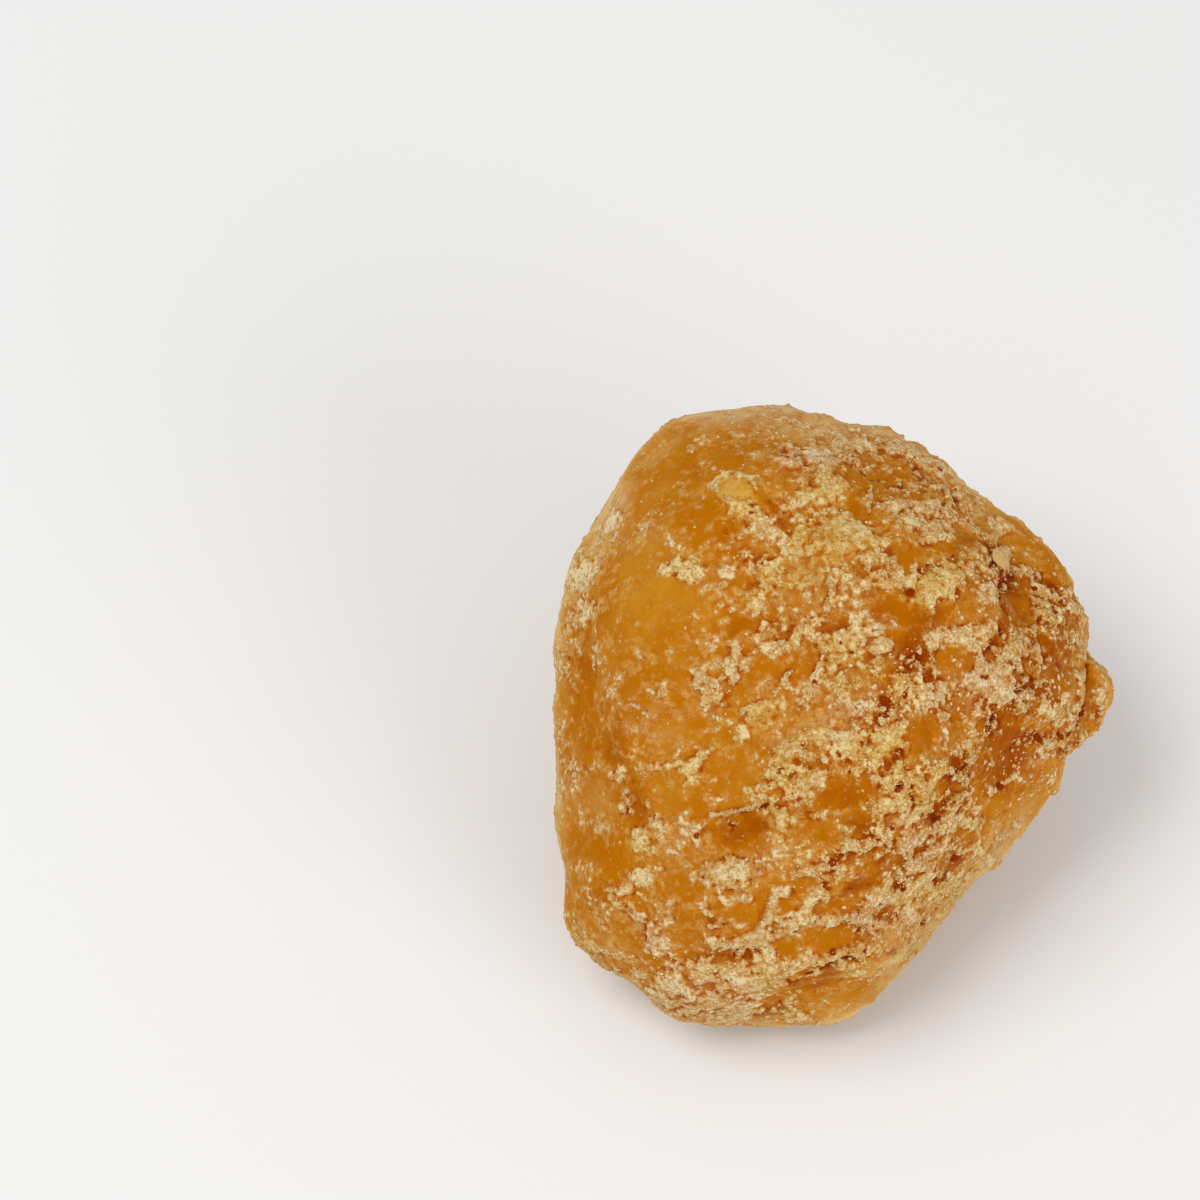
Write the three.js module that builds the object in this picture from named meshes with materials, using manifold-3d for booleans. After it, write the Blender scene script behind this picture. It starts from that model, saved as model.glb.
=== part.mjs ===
// A lump of jaggery: cane juice boiled down, and pressed by hand into one solid block while warm.
//
// The lump is a rounded, many-sided pebble. Where fingers and palm pressed it there are broad, nearly flat
// facets; between them the edges are soft ridges. One corner carries a small squeezed-out nub, a seam runs
// round the right shoulder where a fold of the mass closed on itself, and a ledge runs along the lower edge.
//
// The shape is worked out in the lump's own face frame, in millimetres:
//   u  to the right across the broad face
//   v  up the broad face
//   w  straight out of the broad face
// Every facet is a plane, given by the way it turns round w (degrees from u towards v), the way it leans
// out of the u-v plane towards w (degrees), and its reach: how far it lies from the lump's middle. A soft
// maximum of all the planes gives the pebble; swellings, dents and seams are then added to it.
//
// The lump is last tipped onto the facet it rests on, cut flat there, and set with the middle of its
// bounding box over the origin: millimetres, +Z up, flat underside on z = 0.
import * as THREE from "three";
import { mergeVertices } from "three/addons/utils/BufferGeometryUtils.js";
import Module from "manifold-3d";

// ---- driving sizes, mm and degrees -------------------------------------------------------------------
const MESH_DETAIL = 20; // the pebble has 20 * (MESH_DETAIL + 1)^2 triangles before the base is cut
const EDGE_SOFTNESS = 0.95; // larger is rounder where facets meet
// The edge all round is three bands: [lean towards the face, how far the band lies inside the edge].
const RIM_BANDS = [
  [30, 0],
  [-3, 0.8],
  [-37, 0],
];
const FACE_ABOVE_LEVEL = 60; // the way the broad face looks, measured up from the level, as it lies
const REST_REACH = 21.2; // from the lump's middle down to the flat spot it rests on
const GRAIN_SIZE = 7.5; // pitch of the largest unevenness
const GRAIN_DEPTH = 0.42; // its height, halved at each finer level
const GRAIN_LEVELS = 3;

// The widest outline, seen square to the broad face: [turn, reach, height of that edge along w].
const RIM = {
  left: [182, 29.2, 0.5],
  left_shoulder: [166, 32.4, 0.5],
  upper_left: [149, 31.9, 0.5],
  top_left: [117, 34.3, -0.5],
  top: [94, 33.5, -1.5],
  top_right: [71, 30.1, -2.0],
  upper_right: [51, 28.8, -2.0],
  right_shoulder: [27, 29.3, -2.0],
  right: [3, 28.0, -1.0],
  lower_right: [-40, 23.6, -1.0],
  bottom: [-89, 33.2, -2.5],
  lower_left: [232, 36.3, -1.5],
};

// The broad face and its neighbours, and the underside: [turn, lean, reach].
const FACETS = {
  broad_face: [158, 80, 18.3],
  brow: [80, 57, 22.6],
  right_slope: [14, 60, 20.0],
  flank: [-40, 46, 20.4],
  apron: [272, 54, 23.0],
  cheek: [215, 58, 23.4],
  back: [80, -72, 18.6],
  back_left: [172, -56, 21.4],
  back_right: [5, -55, 20.6],
  back_low: [300, -38, 23.5],
  back_low_left: [235, -42, 25.0],
};

// Swellings and dents: where on the lump (u, v, w), how long, wide and tall the patch is, the way its
// length turns round w, and how far it stands out (or, below zero, goes in).
const SWELLINGS = {
  nub: [26.6, 3.0, -0.5, 2.7, 2.3, 3.0, 96, 2.5],
  under_nub: [24.6, -4.6, -0.5, 2.6, 2.0, 3.5, 60, -0.7],
  shoulder_lobe: [24.0, 12.6, 1.0, 5.0, 3.0, 5.0, 125, 0.7],
  low_corner: [4.4, -28.6, 0.0, 3.0, 3.0, 5.0, 50, -0.5],
  flank_hollow: [18.6, -3.6, 8.0, 5.0, 3.4, 5.0, 40, -1.2],
  flank_lobe: [12.6, -13.0, 8.0, 4.0, 3.0, 4.0, 50, 0.6],
  shoulder_pocket: [18.0, 13.2, 9.0, 4.0, 1.8, 4.0, 100, -1.5],
  apron_hollow: [-9.5, -11.6, 15.5, 5.2, 2.4, 4.0, 35, -1.0],
  centre_hollow: [0.2, -8.4, 17.5, 3.6, 1.8, 3.0, 10, -0.6],
  apron_crest: [-1.0, -24.3, 10.5, 12.0, 2.0, 4.0, 12, 1.0],
  apron_swell: [-15.0, -19.0, 12.0, 5.0, 4.0, 5.0, 60, 0.7],
  face_swell: [-14.5, 8.0, 17.0, 8.5, 6.0, 6.0, 100, 0.9],
  brow_swell: [-8.0, 23.0, 14.0, 6.0, 5.0, 6.0, 10, 0.6],
  centre_swell: [4.6, 4.0, 17.0, 6.0, 4.6, 6.0, 55, 0.7],
  upper_hollow: [3.4, 20.4, 15.0, 5.0, 2.6, 5.0, 20, -0.6],
  cheek_swell: [-22.0, -16.0, 9.0, 6.0, 4.0, 6.0, 90, 0.6],
  corner_notch: [-19.8, -26.8, -1.0, 2.4, 1.8, 6.0, 145, -0.6],
  back_dent: [-4.0, 10.0, -18.0, 8.0, 5.5, 6.0, 30, -1.1],
  back_swell: [12.0, 8.0, -14.0, 7.0, 6.0, 6.0, 0, 0.9],
  left_side_dent: [-27.0, 5.0, -6.0, 7.0, 4.0, 4.0, 80, -0.9],
};

// Seams: a fold whose edge lies along part of the face. The side past the edge sits lower by drop.
// [u, v of its middle, the way it runs, half its length, drop, width of the edge]
const SEAMS = {
  shoulder_seam: [17.2, 11.0, 98, 8.0, 1.0, 1.1],
  crown_seam: [13.6, 21.4, 325, 4.6, 0.6, 0.9],
  flank_seam: [14.4, -3.0, 62, 8.0, 0.7, 1.2],
  nub_seam: [24.6, 1.6, 82, 3.2, 0.8, 0.8],
  apron_seam: [1.5, -25.2, 14, 11.0, 0.9, 1.0],
  cheek_seam: [-23.0, 4.4, 277, 8.6, 0.9, 1.3],
  low_cheek_seam: [-19.0, -9.2, 299, 4.6, 0.6, 1.1],
};

// ---- the surface as a function of place ---------------------------------------------------------------
const rad = THREE.MathUtils.degToRad;

function facing(turn, lean) {
  return new THREE.Vector3(
    Math.cos(rad(turn)) * Math.cos(rad(lean)),
    Math.sin(rad(turn)) * Math.cos(rad(lean)),
    Math.sin(rad(lean)),
  );
}

const planes = [];
for (const [turn, reach, height] of Object.values(RIM)) {
  for (const [lean, inside] of RIM_BANDS) {
    planes.push({
      n: facing(turn, lean),
      d: (reach - inside) * Math.cos(rad(lean)) + height * Math.sin(rad(lean)),
    });
  }
}
for (const [turn, lean, reach] of Object.values(FACETS)) {
  planes.push({ n: facing(turn, lean), d: reach });
}
// The facet it rests on looks straight down once the lump is tipped.
const down = facing(270, -FACE_ABOVE_LEVEL);
planes.push({ n: down, d: REST_REACH });

const swellings = Object.values(SWELLINGS).map(
  ([u, v, w, length, width, tall, turn, height]) => ({
    at: new THREE.Vector3(u, v, w),
    along: new THREE.Vector3(Math.cos(rad(turn)), Math.sin(rad(turn)), 0),
    across: new THREE.Vector3(-Math.sin(rad(turn)), Math.cos(rad(turn)), 0),
    length,
    width,
    tall,
    height,
  }),
);

const seams = Object.values(SEAMS).map(
  ([u, v, turn, half, drop, width]) => ({
    at: new THREE.Vector3(u, v, 0),
    along: new THREE.Vector3(Math.cos(rad(turn)), Math.sin(rad(turn)), 0),
    // past the edge is the side away from the middle of the face
    past: new THREE.Vector3(Math.sin(rad(turn)), -Math.cos(rad(turn)), 0),
    half,
    drop,
    width,
  }),
);

// Smooth value noise on a unit lattice, the same every run.
function lattice(i, j, k) {
  let h =
    Math.imul(i, 374761393) ^ Math.imul(j, 668265263) ^ Math.imul(k, 1103515245);
  h = Math.imul(h ^ (h >>> 13), 1274126177);
  h ^= h >>> 16;
  return ((h >>> 0) / 4294967295) * 2 - 1;
}
function ease(t) {
  return t * t * t * (t * (t * 6 - 15) + 10);
}
function noise(x, y, z) {
  const i = Math.floor(x),
    j = Math.floor(y),
    k = Math.floor(z);
  const a = ease(x - i),
    b = ease(y - j),
    c = ease(z - k);
  const lerp = THREE.MathUtils.lerp;
  const row = (jj, kk) => lerp(lattice(i, jj, kk), lattice(i + 1, jj, kk), a);
  return lerp(
    lerp(row(j, k), row(j + 1, k), b),
    lerp(row(j, k + 1), row(j + 1, k + 1), b),
    c,
  );
}

// Below zero inside the lump, above zero outside, about a distance near the surface.
const from = new THREE.Vector3();
function outside(p) {
  let most = -Infinity;
  const gaps = planes.map(({ n, d }) => {
    const g = n.dot(p) - d;
    most = Math.max(most, g);
    return g;
  });
  let sum = 0;
  for (const g of gaps) sum += Math.exp((g - most) / EDGE_SOFTNESS);
  let f = most + EDGE_SOFTNESS * Math.log(sum);
  for (const s of swellings) {
    from.subVectors(p, s.at);
    const a = from.dot(s.along) / s.length,
      b = from.dot(s.across) / s.width,
      c = from.z / s.tall;
    f -= s.height * Math.exp(-(a * a + b * b + c * c));
  }
  for (const s of seams) {
    if (p.z < 0) continue;
    from.subVectors(p, s.at);
    const a = from.dot(s.along) / s.half,
      b = from.dot(s.past);
    const fade = Math.exp(-(a * a * a * a)) * Math.min(1, p.z / 4);
    // drops sharply at the edge and comes back gently further out
    const dip = 1 / (1 + Math.exp(-b / (0.25 * s.width)));
    f += s.drop * fade * dip * Math.exp(-Math.max(0, b) / 5);
  }
  let depth = GRAIN_DEPTH,
    pitch = GRAIN_SIZE;
  for (let level = 0; level < GRAIN_LEVELS; level++) {
    f -=
      depth *
      noise(p.x / pitch + 17.3 * level, p.y / pitch + 5.1, p.z / pitch + 9.7);
    depth /= 2;
    pitch /= 2;
  }
  return f;
}

// How far the surface lies from the lump's middle, going out along a direction.
const spot = new THREE.Vector3();
function reachAlong(direction) {
  let near = 5,
    far = 50;
  for (let step = 0; step < 34; step++) {
    const middle = (near + far) / 2;
    if (outside(spot.copy(direction).multiplyScalar(middle)) < 0) near = middle;
    else far = middle;
  }
  return (near + far) / 2;
}

// ---- the pebble ------------------------------------------------------------------------------------
let pebble = new THREE.IcosahedronGeometry(1, MESH_DETAIL);
pebble.deleteAttribute("normal");
pebble.deleteAttribute("uv");
pebble = mergeVertices(pebble, 1e-5);
{
  const place = pebble.getAttribute("position");
  const direction = new THREE.Vector3();
  for (let i = 0; i < place.count; i++) {
    direction.fromBufferAttribute(place, i).normalize();
    direction.multiplyScalar(reachAlong(direction));
    place.setXYZ(i, direction.x, direction.y, direction.z);
  }
}

// Face frame to the frame it lies in: u stays level, and the face looks up and towards -Y.
const tip = rad(FACE_ABOVE_LEVEL);
pebble.applyMatrix4(
  new THREE.Matrix4().makeBasis(
    new THREE.Vector3(1, 0, 0),
    new THREE.Vector3(0, Math.sin(tip), Math.cos(tip)),
    new THREE.Vector3(0, -Math.cos(tip), Math.sin(tip)),
  ),
);

// ---- the flat spot underneath ----------------------------------------------------------------------
const wasm = await Module();
wasm.setup();
function solid(geometry) {
  const merged = mergeVertices(geometry, 1e-4);
  return new wasm.Manifold(
    new wasm.Mesh({
      numProp: 3,
      vertProperties: new Float32Array(merged.getAttribute("position").array),
      triVerts: new Uint32Array(merged.index.array),
    }),
  );
}
const REST_FLAT = 0.9; // how much of the lowest facet is pressed truly flat
const board = new THREE.BoxGeometry(200, 200, 60);
board.deleteAttribute("normal");
board.deleteAttribute("uv");
board.translate(0, 0, -REST_REACH + REST_FLAT - 30);
const cut = solid(pebble).subtract(solid(board)).getMesh();

const geometry = new THREE.BufferGeometry();
geometry.setAttribute(
  "position",
  new THREE.BufferAttribute(new Float32Array(cut.vertProperties), 3),
);
geometry.setIndex(new THREE.BufferAttribute(new Uint32Array(cut.triVerts), 1));
geometry.computeBoundingBox();
const { min, max } = geometry.boundingBox;
const middle = new THREE.Vector3(-(min.x + max.x) / 2, -(min.y + max.y) / 2, -min.z);
geometry.translate(middle.x, middle.y, middle.z);
geometry.computeVertexNormals();

// ---- the part --------------------------------------------------------------------------------------
const jaggery = new THREE.Mesh(
  geometry,
  new THREE.MeshStandardMaterial({
    color: new THREE.Color().setRGB(0.74, 0.5, 0.22, THREE.SRGBColorSpace),
    roughness: 0.62,
    metalness: 0,
  }),
);
jaggery.name = "jaggery_block";
jaggery.userData.middle = middle.toArray(); // where the lump's middle lies in the part's frame

const part = new THREE.Group();
part.name = "jaggery_lump";
part.add(jaggery);

export default part;
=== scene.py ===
import math

import bpy
import numpy as np
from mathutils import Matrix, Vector


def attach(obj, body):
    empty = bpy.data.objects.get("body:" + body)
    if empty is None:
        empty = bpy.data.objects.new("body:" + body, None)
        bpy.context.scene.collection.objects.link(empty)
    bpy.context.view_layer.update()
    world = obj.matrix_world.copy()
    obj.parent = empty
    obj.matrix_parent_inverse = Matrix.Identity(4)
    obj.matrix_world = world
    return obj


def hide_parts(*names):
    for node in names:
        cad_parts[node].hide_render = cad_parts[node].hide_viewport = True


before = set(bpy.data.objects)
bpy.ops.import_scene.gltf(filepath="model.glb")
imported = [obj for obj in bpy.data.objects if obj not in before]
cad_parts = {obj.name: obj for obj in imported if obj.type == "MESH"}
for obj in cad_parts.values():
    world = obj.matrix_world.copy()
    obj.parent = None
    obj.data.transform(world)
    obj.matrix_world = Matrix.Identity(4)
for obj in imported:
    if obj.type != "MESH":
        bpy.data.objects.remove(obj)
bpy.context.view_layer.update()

MM = 0.001
SCENE = bpy.context.scene

# ---- the view square to the broad face -------------------------------------------------------------------
# A fixed place in the part's frame, from which the marks on the broad face are laid out. (a, b) is where a
# point appears from there, in millimetres right and up of the lump's middle.
LUMP_MIDDLE = np.array([-0.1933, -0.1574, 20.30])
LOOK_UP = math.radians(60)
ACROSS = np.array([1.0, 0.0, 0.0])
UP_FACE = np.array([0.0, math.sin(LOOK_UP), math.cos(LOOK_UP)])
OUT_OF_FACE = np.array([0.0, -math.cos(LOOK_UP), math.sin(LOOK_UP)])
EYE_DISTANCE = 450.0
LENS, SENSOR = 135.0, 36.0
AIM_RIGHT, AIM_UP = -23.0, 11.6
AIM = LUMP_MIDDLE + AIM_RIGHT * ACROSS + AIM_UP * UP_FACE
EYE = AIM + EYE_DISTANCE * OUT_OF_FACE


def place_camera():
    data = bpy.data.cameras.new("camera")
    data.lens = LENS
    data.sensor_width = SENSOR
    data.sensor_fit = "HORIZONTAL"
    data.clip_start, data.clip_end = 0.01, 20
    camera = bpy.data.objects.new("camera", data)
    SCENE.collection.objects.link(camera)
    camera.location = Vector(EYE * MM)
    camera.rotation_euler = (math.pi / 2 - LOOK_UP, 0, 0)
    SCENE.camera = camera


place_camera()


# ---- noise ---------------------------------------------------------------------------------------------------
def mix_bits(i, j, k, seed):
    with np.errstate(over="ignore"):
        h = (
            i.astype(np.uint32) * np.uint32(0x9E3779B1)
            ^ j.astype(np.uint32) * np.uint32(0x85EBCA77)
            ^ k.astype(np.uint32) * np.uint32(0xC2B2AE3D)
            ^ np.uint32((seed * 0x27D4EB2F) & 0xFFFFFFFF)
        )
        h ^= h >> np.uint32(15)
        h *= np.uint32(0x2C1B3C6D)
        h ^= h >> np.uint32(12)
        h *= np.uint32(0x297A2D39)
        h ^= h >> np.uint32(15)
    return h


def unit(h):
    return h.astype(np.float64) / 4294967295.0


def noise(p, pitch, seed):
    """Gradient noise, about -1 to 1."""
    q = p / pitch + seed * 7.31
    c = np.floor(q).astype(np.int64)
    f = q - c
    s = f * f * f * (f * (f * 6 - 15) + 10)
    total = np.zeros(len(p))
    for corner in range(8):
        o = np.array([corner & 1, corner >> 1 & 1, corner >> 2 & 1])
        n = c + o
        h = mix_bits(n[:, 0], n[:, 1], n[:, 2], seed)
        turn = unit(h) * 2 * math.pi
        z = unit(mix_bits(n[:, 0], n[:, 1], n[:, 2], seed + 101)) * 2 - 1
        r = np.sqrt(1 - z * z)
        d = f - o
        g = np.cos(turn) * r * d[:, 0] + np.sin(turn) * r * d[:, 1] + z * d[:, 2]
        w = np.prod(np.where(o == 1, s, 1 - s), axis=1)
        total += w * g
    return total * 1.75


def fbm(p, pitch, levels, seed, fall=0.5):
    total, weight = np.zeros(len(p)), 1.0
    full = 0.0
    for level in range(levels):
        total += weight * noise(p, pitch / 2**level, seed + 11 * level)
        full += weight
        weight *= fall
    return total / full


def cells(p, pitch, seed):
    """Distance to the nearest and second nearest scattered point, in pitches, and the nearest's number 0 to 1."""
    q = p / pitch + seed * 3.7
    c = np.floor(q).astype(np.int64)
    f = q - c
    first = np.full(len(p), 9.0)
    second = np.full(len(p), 9.0)
    tag = np.zeros(len(p))
    for x in (-1, 0, 1):
        for y in (-1, 0, 1):
            for z in (-1, 0, 1):
                n = c + (x, y, z)
                hx = mix_bits(n[:, 0], n[:, 1], n[:, 2], seed)
                hy = mix_bits(n[:, 0], n[:, 1], n[:, 2], seed + 17)
                hz = mix_bits(n[:, 0], n[:, 1], n[:, 2], seed + 29)
                d = np.stack([unit(hx) + x, unit(hy) + y, unit(hz) + z], 1) - f
                r = np.sqrt((d * d).sum(1))
                nearer = r < first
                second = np.where(nearer, first, np.minimum(second, r))
                tag = np.where(nearer, unit(mix_bits(n[:, 0], n[:, 1], n[:, 2], seed + 43)), tag)
                first = np.where(nearer, r, first)
    return first, second, tag


def ramp(x, low, high):
    t = np.clip((x - low) / (high - low), 0, 1)
    return t * t * (3 - 2 * t)


def turn_bits(x, k):
    return (x << np.uint32(k)) | (x >> np.uint32(32 - k))


def lattice(x, y, z):
    start = np.uint32((0xDEADBEEF + (3 << 2) + 13) & 0xFFFFFFFF)
    with np.errstate(over="ignore"):
        return finish_bits(*(k.astype(np.uint32) + start for k in (x, y, z)))


def shader_noise(p, scale, detail=0, rough=0.5):
    """The same number as the shader's Noise Texture gives at p, so that relief and colour agree. Mean 0.5."""
    total, full, weight = np.zeros(len(p)), 0.0, 1.0
    for level in range(int(detail) + 1):
        q = p * scale * 2**level
        c = np.floor(q).astype(np.int64)
        f = q - c
        s = f * f * f * (f * (f * 6 - 15) + 10)
        for corner in range(8):
            o = np.array([corner & 1, corner >> 1 & 1, corner >> 2 & 1])
            d = f - o
            h = lattice(*(c + o).T) & np.uint32(15)
            u = np.where(h < 8, d[:, 0], d[:, 1])
            v = np.where(h < 4, d[:, 1], np.where((h == 12) | (h == 14), d[:, 0], d[:, 2]))
            g = np.where(h & 1, -u, u) + np.where(h & 2, -v, v)
            total += weight * 0.982 * np.prod(np.where(o == 1, s, 1 - s), axis=1) * g
        full += weight
        weight *= rough
    return 0.5 * total / full + 0.5


def stir(a, b, c):
    a -= c
    a ^= turn_bits(c, 4)
    c += b
    b -= a
    b ^= turn_bits(a, 6)
    a += c
    c -= b
    c ^= turn_bits(b, 8)
    b += a
    a -= c
    a ^= turn_bits(c, 16)
    c += b
    b -= a
    b ^= turn_bits(a, 19)
    a += c
    c -= b
    c ^= turn_bits(b, 4)
    b += a


def finish_bits(a, b, c):
    c ^= b
    c -= turn_bits(b, 14)
    a ^= c
    a -= turn_bits(c, 11)
    b ^= a
    b -= turn_bits(a, 25)
    c ^= b
    c -= turn_bits(b, 16)
    a ^= c
    a -= turn_bits(c, 4)
    b ^= a
    b -= turn_bits(a, 14)
    c ^= b
    c -= turn_bits(b, 24)
    return c


def shader_cells(p, scale):
    """The same distance as the shader's Voronoi Texture gives at p."""
    q = p * scale
    c = np.floor(q)
    f = q - c
    nearest = np.full(len(p), 9.0)
    one, two = (np.full(len(p), k, np.float32).view(np.uint32) for k in (1.0, 2.0))
    three_start = np.uint32((0xDEADBEEF + (3 << 2) + 13) & 0xFFFFFFFF)
    four_start = np.uint32((0xDEADBEEF + (4 << 2) + 13) & 0xFFFFFFFF)
    with np.errstate(over="ignore"):
        for i in (-1, 0, 1):
            for j in (-1, 0, 1):
                for k in (-1, 0, 1):
                    o = np.array([i, j, k], float)
                    x, y, z = (np.ascontiguousarray((c + o + 0.0)[:, n].astype(np.float32)).view(np.uint32) for n in range(3))
                    place = [finish_bits(x + three_start, y + three_start, z + three_start)]
                    for last in (one, two):
                        h = x + four_start, y + four_start, z + four_start
                        stir(*h)
                        place.append(finish_bits(h[0] + last, h[1], h[2]))
                    d = o + np.stack(place, 1) / 4294967295.0 - f
                    nearest = np.minimum(nearest, np.sqrt((d * d).sum(1)))
    return nearest


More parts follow.
